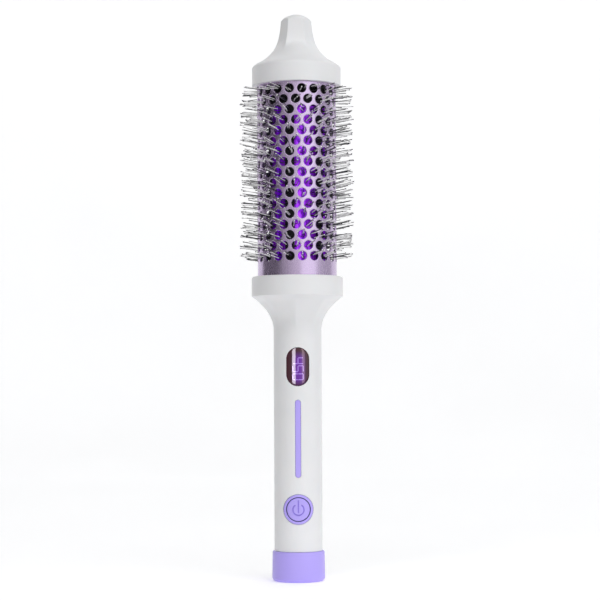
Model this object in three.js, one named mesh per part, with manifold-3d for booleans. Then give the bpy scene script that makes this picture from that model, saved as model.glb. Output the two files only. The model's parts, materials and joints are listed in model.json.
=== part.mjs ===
// Heated round hair brush: perforated barrel with bristle strips, slim two-shell handle, battery inside.
// Millimetres. +Z runs up the brush axis from the flat base; the button and display face -Y, +X is right.

import * as THREE from 'three';
import { ConvexGeometry } from 'three/addons/geometries/ConvexGeometry.js';
import { mergeVertices } from 'three/addons/utils/BufferGeometryUtils.js';
import Module from 'manifold-3d';

const wasm = await Module();
wasm.setup();

// ---- driving dimensions -------------------------------------------------------------------------

const GAP = 0.3;
const SCREW_GAP = 0.25;
// Cutting tools run this far past the faces that they open.
const OVERCUT = 1;

const CAP_HEIGHT = 15;
const CAP_BASE_RADIUS = 13.3;
const CAP_RIM_RADIUS = 13.05;
const CAP_FLOOR = 4;
const CAP_BORE_RADIUS = 11.5;
const CAP_EDGE = 0.9;
const CAP_BEVEL = 0.27;
const CAP_RIM_EDGE = 0.3;

const HANDLE_RADIUS = 12.1;
const HANDLE_WALL = 1.8;
// Openings in the front wall are cut by tools between these two depths.
const WALL_OUTSIDE = -14;
const WALL_INSIDE = -5;
const TENON_RADIUS = 11.2;
const TENON_BOTTOM = 6;
const TENON_WALL = 1.5;

const NECK_BOTTOM = 125;
const NECK_TOP = 142.5;
const NECK_POWER = 2.15;
const NECK_FACETS = 8;
const NECK_TURN = -4;
// The neck's facets fade in over its first part and out over its last.
const NECK_FACET_FADE = { first: 0.45, last: 0.2 };
const NECK_BORE_RADIUS = 8;
const NECK_BORE_TAPER = [3, 12];
const COLLAR_TOP = 152.5;
const COLLAR_RADIUS = 23.1;
const COLLAR_EDGE = 1;
const COLLAR_FLOOR = 145.2;
const COLLAR_BORE_RADIUS = 21.8;
const COLLAR_LIP_BOTTOM = 149.8;

const BARREL_RADIUS = 20;
const BARREL_WALL = 0.8;
const BARREL_BOTTOM = 148.3;
const BARREL_TOP = 253.3;
const HOLE_ROWS = 17;
const HOLES_PER_ROW = 20;
const HOLE_PITCH = 5.22;
const HOLE_FIRST = 161.9;
const HOLE_REACH = 2.45;
const HOLE_TURN = 7.6;

const STRIPS = 10;
const STRIP_TURN = -14.9;
const STRIP_INNER_RADIUS = 12.9;
const STRIP_OUTER_RADIUS = 14.2;
const STRIP_HALF_ANGLE = 7;
const STRIP_BOTTOM = 157;
const STRIP_TOP = 248;
const BRISTLE_ROOT_RADIUS = 13.4;
const BRISTLE_TIP_RADIUS = 29;
const BRISTLE_ROOT_WIDTH = 0.5;
const BRISTLE_TIP_WIDTH = 0.3;
const BRISTLE_FAN = 1 / 3;

const TIP_BOTTOM = 249;
const TIP_TOP = 285.9;
const TIP_RIM_RADIUS = 22.5;
const TIP_RIM_TOP = 258;
const TIP_FLARE_START = 259.6;
const TIP_FLARE_SWELL = 13.3;
const TIP_FLARE_DECAY = 0.15;
const TIP_FLARE_CREST = 260.2;
const TIP_GRIP_RADIUS = 7.3;
const TIP_FACET_BOTTOM = 266.6;
const TIP_FACET_TOP = 272.6;
const TIP_DOME_START = 282.2;
const TIP_DOME_RADIUS = 7.8;
const TIP_APEX_RADIUS = 0.8;
const TIP_FACETS = 6;
const TIP_TURN = -31;
const TIP_CAVITY_RADIUS = 17.5;
const TIP_CAVITY_TOP = 263;
const TIP_BOSS_RADIUS = 4.5;
const TIP_PILOT = { radius: 1.7, top: 264 };

const CORE_RADIUS = 12.5;
const CORE_WALL = 1.5;
const CORE_BOTTOM = 156.3;
const CORE_TOP = 238;
const SOCKET_RADIUS = 18.8;
const SPIGOT_RADIUS = 10.6;
const LOWER_SPIGOT_TOP = 162;
const LEAD_BORE_RADIUS = 6.5;
const UPPER_SPIGOT_BOTTOM = 232;
const UPPER_FLANGE_BOTTOM = 248.6;
const BUSH_SHOULDER_RADIUS = 12.4;
const BUSH_HEAD_BORE = { radius: 3.2, top: 244 };
const BUSH_SHANK_BORE_RADIUS = 1.8;

const BLOCK = { bottom: 166, length: 62, flat: 2.3 };
const PLATE = { width: 13, thickness: 4, length: 58, middle: 197 };
const SENSOR = { radius: 1.1, bottom: 204, top: 209, x: 8.8 };
const FUSE = { radius: 1.5, bottom: 186, top: 196, x: -8.7 };
const LEAD_RADIUS = 0.7;

const BOARD_FRONT = -7.6;
const BOARD_THICKNESS = 1.2;
const BOARD_WIDTH = 12;
const BOARD_BOTTOM = 23;
const BOARD_TOP = 120;
const BOARD_SCREW_HEIGHTS = [47.5, 94];
const BOARD_HOLE_RADIUS = 1.2;
const BOARD_BOSS_RADIUS = 2;
const BOARD_BOSS_FRONT = -11;
const MODULE = { width: 9, thickness: 1.2, height: 17 };

const WINDOW_CENTRE = 107;
const WINDOW_WIDTH = 11.3;
const WINDOW_HEIGHT = 19.2;
const WINDOW_INSIDE = 10.9;
const WINDOW_SINK = 0.15;
const BAR_CENTRE = 71.2;
const BAR_WIDTH = 2.8;
const BAR_HEIGHT = 38.6;
const BAR_INSIDE = 10.2;
const BAR_SINK = 0.1;

const BUTTON_CENTRE = 36.2;
const BUTTON_RADIUS = 5.7;
const BUTTON_RISE = 0.35;
const BUTTON_BACK = -9.7;
const BUTTON_TAB = { width: 4, thickness: 0.7, inset: 0.3, y: -9.45 };
const RING_RADIUS = 7.35;
const RING_BORE_RADIUS = 6.1;
const RING_RISE = 0.5;
const RING_INSIDE = 10.6;
const PLUNGER = { radius: 1, front: -8.95, back: -8.45 };
const SWITCH = { size: 5.2, thickness: 0.7, bore: 1.3, floor: 0.1, solder: 0.1 };

const CELL_RADIUS = 6.9;
const CELL_LENGTH = 49;
const CELL_Y = 2.2;
const CELL_BOTTOM = 25;
const CELL_EDGE = 0.6;
const CELL_BUTTON = { radius: 2.5, height: 0.8 };
const CONTACT = { radius: 5, thickness: 0.4, gap: 0.7 };
const HOLDER_FRONT = -4.5;
const CHARGE_BOARD = { width: 12, thickness: 1, height: 14, y: 2.5, lift: 0.5 };
const INLET = { width: 8.9, depth: 3.2, wall: 0.3, bottom: 0.8, top: 8.3, floor: 1 };

const SMALL_PILOT_RADIUS = 1.1;
const SCREW_SEAT_RADIUS = 2.3;
const CAP_SCREW = { head: 1.9, headHeight: 1.3, shank: 0.95, length: 29 };
const CAP_SCREW_X = 7.8;
const CAP_SCREW_Y = -1;
const CAP_SCREW_SEAT = 2.9;
const CAP_SCREW_BORE = 1.2;
const NECK_SCREW = { head: 1.9, headHeight: 1.4, shank: 0.85, length: 10 };
const NECK_SCREW_X = 8.4;
const NECK_SCREW_Z = 133.5;
const NECK_SCREW_SEAT = 5.5;
const NECK_SCREW_BORE = 1.3;
const BOARD_SCREW = { head: 1.9, headHeight: 0.9, shank: 0.85, length: 3.4 };
const TIP_SCREW = { head: 2.8, headHeight: 2, shank: 1.45, length: 18 };
const TIP_SCREW_SEAT = 243.7;

// ---- materials ----------------------------------------------------------------------------------

const FINISHES = {
  white_shell: [0xe9e9ea, 0.45, 0],
  lavender: [0xb09ff4, 0.35, 0],
  barrel_coat: [0xb7a7c6, 0.3, 0.9],
  core_violet: [0x6a12c8, 0.25, 0.8],
  bristle: [0x2a282c, 0.5, 0],
  black_plastic: [0x151517, 0.6, 0],
  dark_glass: [0x2c1722, 0.08, 0],
  aluminium: [0xb9bcc0, 0.4, 0.9],
  steel: [0x9a9da1, 0.35, 1],
  circuit_board: [0x1d5a34, 0.5, 0],
  ceramic: [0xe4dfd2, 0.6, 0],
  cell_sleeve: [0x2f6fb0, 0.4, 0],
  wire: [0xb8332b, 0.5, 0],
};

function makeMaterial(finish) {
  const [color, roughness, metalness] = FINISHES[finish];
  return new THREE.MeshStandardMaterial({ color, roughness, metalness });
}

// ---- solids and booleans ------------------------------------------------------------------------

function toSolid(geometry) {
  const bare = geometry.clone();
  bare.deleteAttribute('normal');
  bare.deleteAttribute('uv');
  const merged = mergeVertices(bare, 1e-4);
  const mesh = new wasm.Mesh({
    numProp: 3,
    vertProperties: Float32Array.from(merged.attributes.position.array),
    triVerts: Uint32Array.from(merged.index.array),
  });
  return new wasm.Manifold(mesh);
}

function toGeometry(solid) {
  const mesh = solid.getMesh();
  const geometry = new THREE.BufferGeometry();
  geometry.setAttribute('position', new THREE.BufferAttribute(mesh.vertProperties, 3));
  geometry.setIndex(new THREE.BufferAttribute(mesh.triVerts, 1));
  return geometry;
}

function cut(body, ...tools) {
  return toGeometry(tools.reduce((solid, tool) => solid.subtract(toSolid(tool)), toSolid(body)));
}

function join(body, ...others) {
  return toGeometry(others.reduce((solid, other) => solid.add(toSolid(other)), toSolid(body)));
}

function common(body, other) {
  return toGeometry(toSolid(body).intersect(toSolid(other)));
}

// ---- basic shapes -------------------------------------------------------------------------------

function radians(degrees) {
  return THREE.MathUtils.degToRad(degrees);
}

// A point on a circle about the brush axis; angle 0 faces the front (-Y), positive turns right (+X).
function around(radius, degrees, z) {
  const angle = radians(degrees);
  return new THREE.Vector3(radius * Math.sin(angle), -radius * Math.cos(angle), z);
}

function box(width, depth, height, x, y, z) {
  return new THREE.BoxGeometry(width, depth, height).translate(x, y, z);
}

// A closed solid of revolution about Z from [radius, z] pairs that start and end on the axis,
// or that close on themselves.
function turned(profile, sides) {
  const points = profile.map(([radius, z]) => new THREE.Vector2(radius, z));
  return new THREE.LatheGeometry(points, sides).rotateX(Math.PI / 2);
}

function ring(outer, inner, bottom, top, sides) {
  return turned([[inner, bottom], [outer, bottom], [outer, top], [inner, top], [inner, bottom]], sides);
}

function rod(radius, bottom, top, sides, x = 0, y = 0) {
  return turned([[0, bottom], [radius, bottom], [radius, top], [0, top]], sides).translate(x, y, 0);
}

// A rod along Y from front to back, at x and z.
function crossRod(radius, front, back, sides, x, z) {
  const length = back - front;
  return new THREE.CylinderGeometry(radius, radius, length, sides).translate(x, (front + back) / 2, z);
}

// Flanks and two end fans over a stack of rings with equal point counts, bottom ring first.
function loft(rings) {
  const sides = rings[0].length;
  const positions = rings.flat().flatMap((point) => point.toArray());
  const centres = [rings[0], rings[rings.length - 1]].map((ringPoints) => {
    const sum = ringPoints.reduce((total, point) => total.add(point), new THREE.Vector3());
    return sum.divideScalar(sides);
  });
  centres.forEach((centre) => positions.push(...centre.toArray()));
  const index = [];
  const last = (rings.length - 1) * sides;
  const lowCentre = rings.length * sides;
  for (let i = 0; i < sides; i += 1) {
    const next = (i + 1) % sides;
    for (let level = 0; level < rings.length - 1; level += 1) {
      const a = level * sides + i;
      const b = level * sides + next;
      index.push(a, b, b + sides, a, b + sides, a + sides);
    }
    index.push(lowCentre, next, i, lowCentre + 1, last + i, last + next);
  }
  const geometry = new THREE.BufferGeometry();
  geometry.setAttribute('position', new THREE.Float32BufferAttribute(positions, 3));
  geometry.setIndex(index);
  return geometry;
}

// One ring of a lofted skin: round at facet 0, a polygon with flat sides at facet 1.
function skinRing(radius, z, facet, facets, turn, sides) {
  const wedge = 360 / facets;
  return Array.from({ length: sides }, (_, i) => {
    const degrees = (360 * i) / sides;
    const fromFlat = (degrees % wedge) - wedge / 2;
    const flat = Math.cos(radians(wedge / 2)) / Math.cos(radians(fromFlat));
    return around(radius * (1 - facet + facet * flat), degrees + turn, z);
  });
}

// A stadium outline extruded along Y between front and back, its long side along Z.
function stadium(width, height, front, back, z, arcSteps) {
  const shape = new THREE.Shape();
  const straight = (height - width) / 2;
  shape.absarc(0, straight, width / 2, 0, Math.PI, false);
  shape.absarc(0, -straight, width / 2, Math.PI, 2 * Math.PI, false);
  const options = { depth: back - front, bevelEnabled: false, curveSegments: arcSteps };
  return new THREE.ExtrudeGeometry(shape, options).rotateX(Math.PI / 2).translate(0, back, z);
}

// A flat-headed screw pointing up +Z from its head's underside at the origin.
function screw({ head, headHeight, shank, length }) {
  const profile = [
    [0, -headHeight],
    [head, -headHeight],
    [head, 0],
    [shank, 0],
    [shank, length],
    [0, length],
  ];
  return turned(profile, 8);
}

// ---- head ---------------------------------------------------------------------------------------

function tipRings() {
  const sides = 4 * TIP_FACETS;
  const rings = [];
  const add = (radius, z, facet) => rings.push(skinRing(radius, z, facet, TIP_FACETS, TIP_TURN, sides));
  add(TIP_RIM_RADIUS, TIP_BOTTOM, 0);
  add(TIP_RIM_RADIUS, TIP_RIM_TOP, 0);
  const steps = 6;
  for (let i = 0; i <= steps; i += 1) {
    const z = THREE.MathUtils.lerp(TIP_FLARE_START, TIP_DOME_START, (i / steps) ** 1.4);
    const swell = TIP_FLARE_SWELL * Math.exp(-TIP_FLARE_DECAY * (z - TIP_FLARE_CREST));
    const facet = THREE.MathUtils.smoothstep(z, TIP_FACET_BOTTOM, TIP_FACET_TOP);
    add(TIP_GRIP_RADIUS + swell, z, facet);
  }
  const domeHeight = TIP_TOP - TIP_DOME_START;
  for (const part of [0.5, 0.85]) {
    const radius = TIP_DOME_RADIUS * Math.sqrt(1 - part ** 2);
    add(radius, TIP_DOME_START + part * domeHeight, (1 - part) / 2);
  }
  add(TIP_APEX_RADIUS, TIP_TOP, 0);
  return rings;
}

function tipCap() {
  const cavity = turned([
    [0, TIP_BOTTOM - OVERCUT],
    [BARREL_RADIUS + GAP, TIP_BOTTOM - OVERCUT],
    [BARREL_RADIUS + GAP, BARREL_TOP + GAP],
    [TIP_CAVITY_RADIUS, BARREL_TOP + GAP],
    [2 * TIP_BOSS_RADIUS, TIP_CAVITY_TOP],
    [TIP_BOSS_RADIUS, TIP_CAVITY_TOP],
    [TIP_BOSS_RADIUS, BARREL_TOP + OVERCUT],
    [0, BARREL_TOP + OVERCUT],
  ], 20);
  const pilot = rod(TIP_PILOT.radius, BARREL_TOP, TIP_PILOT.top, 8);
  return cut(loft(tipRings()), cavity, pilot);
}

function topBush() {
  const body = turned([
    [0, UPPER_SPIGOT_BOTTOM],
    [SPIGOT_RADIUS, UPPER_SPIGOT_BOTTOM],
    [SPIGOT_RADIUS, CORE_TOP + GAP],
    [BUSH_SHOULDER_RADIUS, CORE_TOP + GAP],
    [BUSH_SHOULDER_RADIUS, UPPER_FLANGE_BOTTOM],
    [SOCKET_RADIUS, UPPER_FLANGE_BOTTOM],
    [SOCKET_RADIUS, BARREL_TOP],
    [0, BARREL_TOP],
  ], 20);
  const headBore = rod(BUSH_HEAD_BORE.radius, UPPER_SPIGOT_BOTTOM - OVERCUT, BUSH_HEAD_BORE.top, 12);
  const shankBore = rod(BUSH_SHANK_BORE_RADIUS, BUSH_HEAD_BORE.top - OVERCUT, BARREL_TOP + OVERCUT, 8);
  return cut(body, headBore, shankBore);
}

function tipScrew() {
  return screw(TIP_SCREW).translate(0, 0, TIP_SCREW_SEAT);
}

// Angle of a hole: alternate rows are shifted by half a pitch.
function holeAngle(row, column) {
  const pitch = 360 / HOLES_PER_ROW;
  return HOLE_TURN + pitch * (column + (row % 2) / 2);
}

function holeHeight(row) {
  return HOLE_FIRST + row * HOLE_PITCH;
}

// Triangles of one skin of the perforated barrel: bands between the rims and the diamond holes.
// Each hole owns four corners: left, right, low and high.
function barrelSkin(radius, positions, faces) {
  const start = positions.length / 3;
  const reach = THREE.MathUtils.radToDeg(HOLE_REACH / BARREL_RADIUS);
  const put = (degrees, z) => positions.push(...around(radius, degrees, z).toArray());
  for (let row = 0; row < HOLE_ROWS; row += 1) {
    for (let column = 0; column < HOLES_PER_ROW; column += 1) {
      const angle = holeAngle(row, column);
      const z = holeHeight(row);
      put(angle - reach, z);
      put(angle + reach, z);
      put(angle, z - HOLE_REACH);
      put(angle, z + HOLE_REACH);
    }
  }
  const rims = positions.length / 3;
  for (const [z, row] of [[BARREL_BOTTOM, 0], [BARREL_TOP, HOLE_ROWS - 1]]) {
    for (let column = 0; column < HOLES_PER_ROW; column += 1) {
      put(holeAngle(row, column), z);
      put(holeAngle(row, column + 0.5), z);
    }
  }
  const wrap = (column) => (column + HOLES_PER_ROW) % HOLES_PER_ROW;
  const corner = (row, column, which) => start + 4 * (row * HOLES_PER_ROW + wrap(column)) + which;
  const rim = (end, step) => rims + end * 2 * HOLES_PER_ROW + (step + 2 * HOLES_PER_ROW) % (2 * HOLES_PER_ROW);
  const quad = (a, b, c, d) => faces.push([a, b, c], [a, c, d]);
  for (let row = 0; row < HOLE_ROWS; row += 1) {
    for (let column = 0; column < HOLES_PER_ROW; column += 1) {
      webFaces(row, column, corner, rim, quad, faces);
    }
  }
  return { corner, rim };
}

// The web to the right of one hole and the two ribs that rise from its upper sides.
function webFaces(row, column, corner, rim, quad, faces) {
  const [LEFT, RIGHT, LOW, HIGH] = [0, 1, 2, 3];
  const shift = row % 2;
  const above = row + 1 < HOLE_ROWS;
  const below = row > 0;
  const right = corner(row, column, RIGHT);
  const nextLeft = corner(row, column + 1, LEFT);
  const up = above ? corner(row + 1, column + shift, LOW) : rim(1, 2 * column + 1);
  const down = below ? corner(row - 1, column + shift, HIGH) : rim(0, 2 * column + 1);
  quad(right, down, nextLeft, up);
  if (above) {
    const rightHole = column + shift;
    const leftHole = rightHole - 1;
    const high = corner(row, column, HIGH);
    quad(right, corner(row + 1, rightHole, LOW), corner(row + 1, rightHole, LEFT), high);
    quad(corner(row, column, LEFT), high, corner(row + 1, leftHole, RIGHT), corner(row + 1, leftHole, LOW));
  } else {
    const top = rim(1, 2 * column);
    const high = corner(row, column, HIGH);
    quad(right, rim(1, 2 * column + 1), top, high);
    quad(corner(row, column, LEFT), high, top, rim(1, 2 * column - 1));
  }
  if (!below) {
    const bottom = rim(0, 2 * column);
    const low = corner(row, column, LOW);
    quad(corner(row, column, LEFT), rim(0, 2 * column - 1), bottom, low);
    quad(low, bottom, rim(0, 2 * column + 1), right);
  }
}

function barrel() {
  const positions = [];
  const outerFaces = [];
  const innerFaces = [];
  const outer = barrelSkin(BARREL_RADIUS, positions, outerFaces);
  const inner = barrelSkin(BARREL_RADIUS - BARREL_WALL, positions, innerFaces);
  const faces = outerFaces.concat(innerFaces.map(([a, b, c]) => [a, c, b]));
  const wall = (a, b, innerA, innerB) => faces.push([a, innerA, innerB], [a, innerB, b]);
  const loop = [0, 2, 1, 3];
  for (let row = 0; row < HOLE_ROWS; row += 1) {
    for (let column = 0; column < HOLES_PER_ROW; column += 1) {
      loop.forEach((from, i) => {
        const to = loop[(i + 1) % loop.length];
        const [a, b] = [outer.corner(row, column, from), outer.corner(row, column, to)];
        wall(b, a, inner.corner(row, column, to), inner.corner(row, column, from));
      });
    }
  }
  for (let step = 0; step < 2 * HOLES_PER_ROW; step += 1) {
    wall(outer.rim(0, step), outer.rim(0, step + 1), inner.rim(0, step), inner.rim(0, step + 1));
    wall(outer.rim(1, step + 1), outer.rim(1, step), inner.rim(1, step + 1), inner.rim(1, step));
  }
  const geometry = new THREE.BufferGeometry();
  geometry.setAttribute('position', new THREE.Float32BufferAttribute(positions, 3));
  geometry.setIndex(faces.flat());
  return geometry;
}

// A three-sided tapered bristle from its root point to its tip point.
function bristle(root, tip) {
  const along = tip.clone().sub(root).normalize();
  const side = new THREE.Vector3(-along.y, along.x, 0).normalize();
  const corner = (centre, width, degrees) => (
    side.clone().multiplyScalar(width).applyAxisAngle(along, radians(degrees)).add(centre)
  );
  const ends = [[root, BRISTLE_ROOT_WIDTH], [tip, BRISTLE_TIP_WIDTH]];
  return new ConvexGeometry(ends.flatMap(([centre, width]) => (
    [0, 120, 240].map((degrees) => corner(centre, width, degrees))
  )));
}

// Bristles fan out from a narrow carrier: each leaves nearer the carrier's middle than its hole is.
function fannedBristle(offset, z) {
  const root = around(BRISTLE_ROOT_RADIUS, offset * BRISTLE_FAN, z);
  const hole = around(BARREL_RADIUS - BARREL_WALL / 2, offset, z);
  const direction = hole.clone().sub(root).normalize();
  const along = hole.dot(direction) - hole.z * direction.z;
  const inside = hole.x ** 2 + hole.y ** 2 - BRISTLE_TIP_RADIUS ** 2;
  const reach = Math.sqrt(along ** 2 - inside) - along;
  return bristle(root, hole.clone().addScaledVector(direction, reach));
}

function stripCarrier() {
  const half = STRIP_HALF_ANGLE;
  const outline = [
    around(STRIP_OUTER_RADIUS, -half, 0),
    around(STRIP_OUTER_RADIUS, half, 0),
    around(STRIP_INNER_RADIUS, half, 0),
    around(STRIP_INNER_RADIUS, -half, 0),
  ];
  const shape = new THREE.Shape(outline.map((point) => new THREE.Vector2(point.x, point.y)));
  const depth = STRIP_TOP - STRIP_BOTTOM;
  return new THREE.ExtrudeGeometry(shape, { depth, bevelEnabled: false }).translate(0, 0, STRIP_BOTTOM);
}

// One strip serves four columns of holes, two in the even rows and two in the odd rows.
function bristleStrip(index) {
  const centre = STRIP_TURN + (index * 360) / STRIPS;
  const half = 360 / STRIPS / 2;
  const pins = [];
  for (let row = 0; row < HOLE_ROWS; row += 1) {
    for (let column = 0; column < HOLES_PER_ROW; column += 1) {
      const offset = THREE.MathUtils.euclideanModulo(holeAngle(row, column) - centre + 180, 360) - 180;
      if (Math.abs(offset) < half) {
        pins.push(fannedBristle(offset, holeHeight(row)));
      }
    }
  }
  return join(stripCarrier(), ...pins).rotateZ(radians(centre));
}

// ---- heater -------------------------------------------------------------------------------------

function heatCore() {
  return ring(CORE_RADIUS, CORE_RADIUS - CORE_WALL, CORE_BOTTOM, CORE_TOP, 20);
}

// A D-shaped aluminium block that presses the heater plate against the inside of the core.
function heatBlock(side) {
  const radius = CORE_RADIUS - CORE_WALL - GAP;
  const half = Math.acos(BLOCK.flat / radius);
  const shape = new THREE.Shape();
  shape.absarc(0, 0, radius, Math.PI / 2 - half, Math.PI / 2 + half, false);
  const options = { depth: BLOCK.length, bevelEnabled: false, curveSegments: 8 };
  const block = new THREE.ExtrudeGeometry(shape, options);
  return block.rotateZ(side > 0 ? 0 : Math.PI).translate(0, 0, BLOCK.bottom);
}

function ptcPlate() {
  return box(PLATE.width, PLATE.thickness, PLATE.length, 0, 0, PLATE.middle);
}

// A small sealed cylinder standing beside the heating block.
function capsule({ radius, bottom, top, x }) {
  return rod(radius, bottom, top, 8, x, 0);
}

// The insulating socket under the barrel: a flange held in the collar and two locating spigots.
function baseSocket() {
  return turned([
    [LEAD_BORE_RADIUS, COLLAR_FLOOR + GAP],
    [COLLAR_BORE_RADIUS - GAP, COLLAR_FLOOR + GAP],
    [COLLAR_BORE_RADIUS - GAP, BARREL_BOTTOM - GAP],
    [SOCKET_RADIUS, BARREL_BOTTOM - GAP],
    [SOCKET_RADIUS, CORE_BOTTOM - GAP],
    [SPIGOT_RADIUS, CORE_BOTTOM - GAP],
    [SPIGOT_RADIUS, LOWER_SPIGOT_TOP],
    [LEAD_BORE_RADIUS, LOWER_SPIGOT_TOP],
    [LEAD_BORE_RADIUS, COLLAR_FLOOR + GAP],
  ], 24);
}

// A sleeved wire on a smooth curve through its points.
function lead(points) {
  const curve = new THREE.CatmullRomCurve3(points.map((point) => new THREE.Vector3(...point)));
  const section = new THREE.Shape().absarc(0, 0, LEAD_RADIUS, 0, 2 * Math.PI, false);
  const options = { steps: 10, bevelEnabled: false, curveSegments: 3, extrudePath: curve };
  return new THREE.ExtrudeGeometry(section, options);
}

function heaterLead(side) {
  return lead([
    [4 * side, 0, 167],
    [4 * side, 0, 158],
    [3.5 * side, -0.5, 146],
    [3 * side, -4.5, 132],
    [3 * side, -7, BOARD_TOP + GAP],
  ]);
}

function sensorLead() {
  return lead([
    [8.8, 0, 203.6],
    [8.8, 0, 172],
    [4.6, 1.4, 162],
    [1, 3, 150],
    [0, -2, 136],
    [0, -7, BOARD_TOP + GAP],
  ]);
}

// ---- handle shells ------------------------------------------------------------------------------

function shellSkin() {
  const sides = 4 * NECK_FACETS;
  const rings = [];
  const add = (radius, z, facet) => rings.push(skinRing(radius, z, facet, NECK_FACETS, NECK_TURN, sides));
  add(TENON_RADIUS, TENON_BOTTOM, 0);
  add(TENON_RADIUS, CAP_HEIGHT + GAP, 0);
  add(HANDLE_RADIUS, CAP_HEIGHT + GAP, 0);
  const steps = 6;
  for (let i = 0; i <= steps; i += 1) {
    const part = i / steps;
    const z = THREE.MathUtils.lerp(NECK_BOTTOM, NECK_TOP, part);
    const fadeIn = THREE.MathUtils.smoothstep(part, 0, NECK_FACET_FADE.first);
    const fadeOut = THREE.MathUtils.smoothstep(1 - part, 0, NECK_FACET_FADE.last);
    add(THREE.MathUtils.lerp(HANDLE_RADIUS, COLLAR_RADIUS, part ** NECK_POWER), z, fadeIn * fadeOut);
  }
  add(COLLAR_RADIUS, COLLAR_TOP - COLLAR_EDGE, 0);
  add(COLLAR_RADIUS - COLLAR_EDGE, COLLAR_TOP, 0);
  return loft(rings);
}

function shellBore() {
  const inside = HANDLE_RADIUS - HANDLE_WALL;
  return turned([
    [0, TENON_BOTTOM - OVERCUT],
    [TENON_RADIUS - TENON_WALL, TENON_BOTTOM - OVERCUT],
    [TENON_RADIUS - TENON_WALL, CAP_HEIGHT + TENON_WALL],
    [inside, CAP_HEIGHT + 2 * TENON_WALL],
    [inside, NECK_BOTTOM + NECK_BORE_TAPER[0]],
    [NECK_BORE_RADIUS, NECK_BOTTOM + NECK_BORE_TAPER[1]],
    [NECK_BORE_RADIUS, COLLAR_FLOOR],
    [COLLAR_BORE_RADIUS, COLLAR_FLOOR],
    [COLLAR_BORE_RADIUS, COLLAR_LIP_BOTTOM],
    [BARREL_RADIUS + GAP, COLLAR_LIP_BOTTOM],
    [BARREL_RADIUS + GAP, COLLAR_TOP + OVERCUT],
    [0, COLLAR_TOP + OVERCUT],
  ], 24);
}

// Half of the space around the handle, in front of or behind the joint between the shells.
function halfSpace(side) {
  const size = 4 * COLLAR_RADIUS;
  return box(size, size, 2 * (COLLAR_TOP + OVERCUT), 0, side * (size / 2 + GAP / 2), 0);
}

function frontShell() {
  const inWall = (z, radius, back, sides) => crossRod(radius, BOARD_BOSS_FRONT, back, sides, 0, z);
  const bosses = BOARD_SCREW_HEIGHTS.map((z) => inWall(z, BOARD_BOSS_RADIUS, BOARD_FRONT - GAP, 10));
  const pilotFront = BOARD_BOSS_FRONT + OVERCUT;
  const pilots = BOARD_SCREW_HEIGHTS.map((z) => crossRod(SMALL_PILOT_RADIUS, pilotFront, 0, 8, 0, z));
  const opening = (width, height, centre, steps) => (
    stadium(width + 2 * GAP, height + 2 * GAP, WALL_OUTSIDE, WALL_INSIDE, centre, steps)
  );
  const window = opening(WINDOW_WIDTH, WINDOW_HEIGHT, WINDOW_CENTRE, 8);
  const slot = opening(BAR_WIDTH, BAR_HEIGHT, BAR_CENTRE, 5);
  const buttonHole = crossRod(RING_RADIUS + GAP, WALL_OUTSIDE, WALL_INSIDE, 20, 0, BUTTON_CENTRE);
  const screwHoles = [-1, 1].map((side) => (
    crossRod(SMALL_PILOT_RADIUS, -NECK_SCREW_SEAT, GAP, 8, side * NECK_SCREW_X, NECK_SCREW_Z)
  ));
  const half = common(cut(shellSkin(), shellBore()), halfSpace(-1));
  return cut(join(half, ...bosses), ...pilots, window, slot, buttonHole, ...screwHoles);
}

function rearShell() {
  const half = common(cut(shellSkin(), shellBore()), halfSpace(1));
  const tools = [-1, 1].flatMap((side) => [
    crossRod(NECK_SCREW_BORE, -OVERCUT, COLLAR_RADIUS, 8, side * NECK_SCREW_X, NECK_SCREW_Z),
    crossRod(SCREW_SEAT_RADIUS, NECK_SCREW_SEAT, COLLAR_RADIUS, 12, side * NECK_SCREW_X, NECK_SCREW_Z),
  ]);
  return cut(half, ...tools);
}

function neckScrew(side) {
  const body = screw(NECK_SCREW).rotateX(Math.PI / 2);
  return body.translate(side * NECK_SCREW_X, NECK_SCREW_SEAT + SCREW_GAP, NECK_SCREW_Z);
}

// ---- front controls -----------------------------------------------------------------------------

// The part of an outline that lies between two cylinders about the brush axis.
function conform(outline, outerRadius, innerRadius) {
  const skin = ring(outerRadius, innerRadius, CAP_HEIGHT, NECK_BOTTOM, 60);
  return common(outline, skin);
}

function displayWindow() {
  const outline = stadium(WINDOW_WIDTH, WINDOW_HEIGHT, WALL_OUTSIDE, WALL_INSIDE, WINDOW_CENTRE, 8);
  return conform(outline, HANDLE_RADIUS - WINDOW_SINK, WINDOW_INSIDE);
}

function displayModule() {
  const y = BOARD_FRONT - GAP - MODULE.thickness / 2;
  return box(MODULE.width, MODULE.thickness, MODULE.height, 0, y, WINDOW_CENTRE);
}

function lightBar() {
  const outline = stadium(BAR_WIDTH, BAR_HEIGHT, WALL_OUTSIDE, WALL_INSIDE, BAR_CENTRE, 5);
  return conform(outline, HANDLE_RADIUS - BAR_SINK, BAR_INSIDE);
}

function mainBoard() {
  const height = BOARD_TOP - BOARD_BOTTOM;
  const middle = (BOARD_TOP + BOARD_BOTTOM) / 2;
  const plate = box(BOARD_WIDTH, BOARD_THICKNESS, height, 0, BOARD_FRONT + BOARD_THICKNESS / 2, middle);
  const holes = BOARD_SCREW_HEIGHTS.map((z) => (
    crossRod(BOARD_HOLE_RADIUS, BOARD_FRONT - OVERCUT, WALL_INSIDE, 8, 0, z)
  ));
  return cut(plate, ...holes);
}

function boardScrew(z) {
  const head = BOARD_FRONT + BOARD_THICKNESS + GAP;
  return screw(BOARD_SCREW).rotateX(Math.PI / 2).translate(0, head, z);
}

function buttonRing() {
  const disc = crossRod(RING_RADIUS, WALL_OUTSIDE, WALL_INSIDE, 24, 0, BUTTON_CENTRE);
  const bore = crossRod(RING_BORE_RADIUS, WALL_OUTSIDE - OVERCUT, 0, 24, 0, BUTTON_CENTRE);
  return conform(cut(disc, bore), HANDLE_RADIUS + RING_RISE, RING_INSIDE);
}

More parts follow.
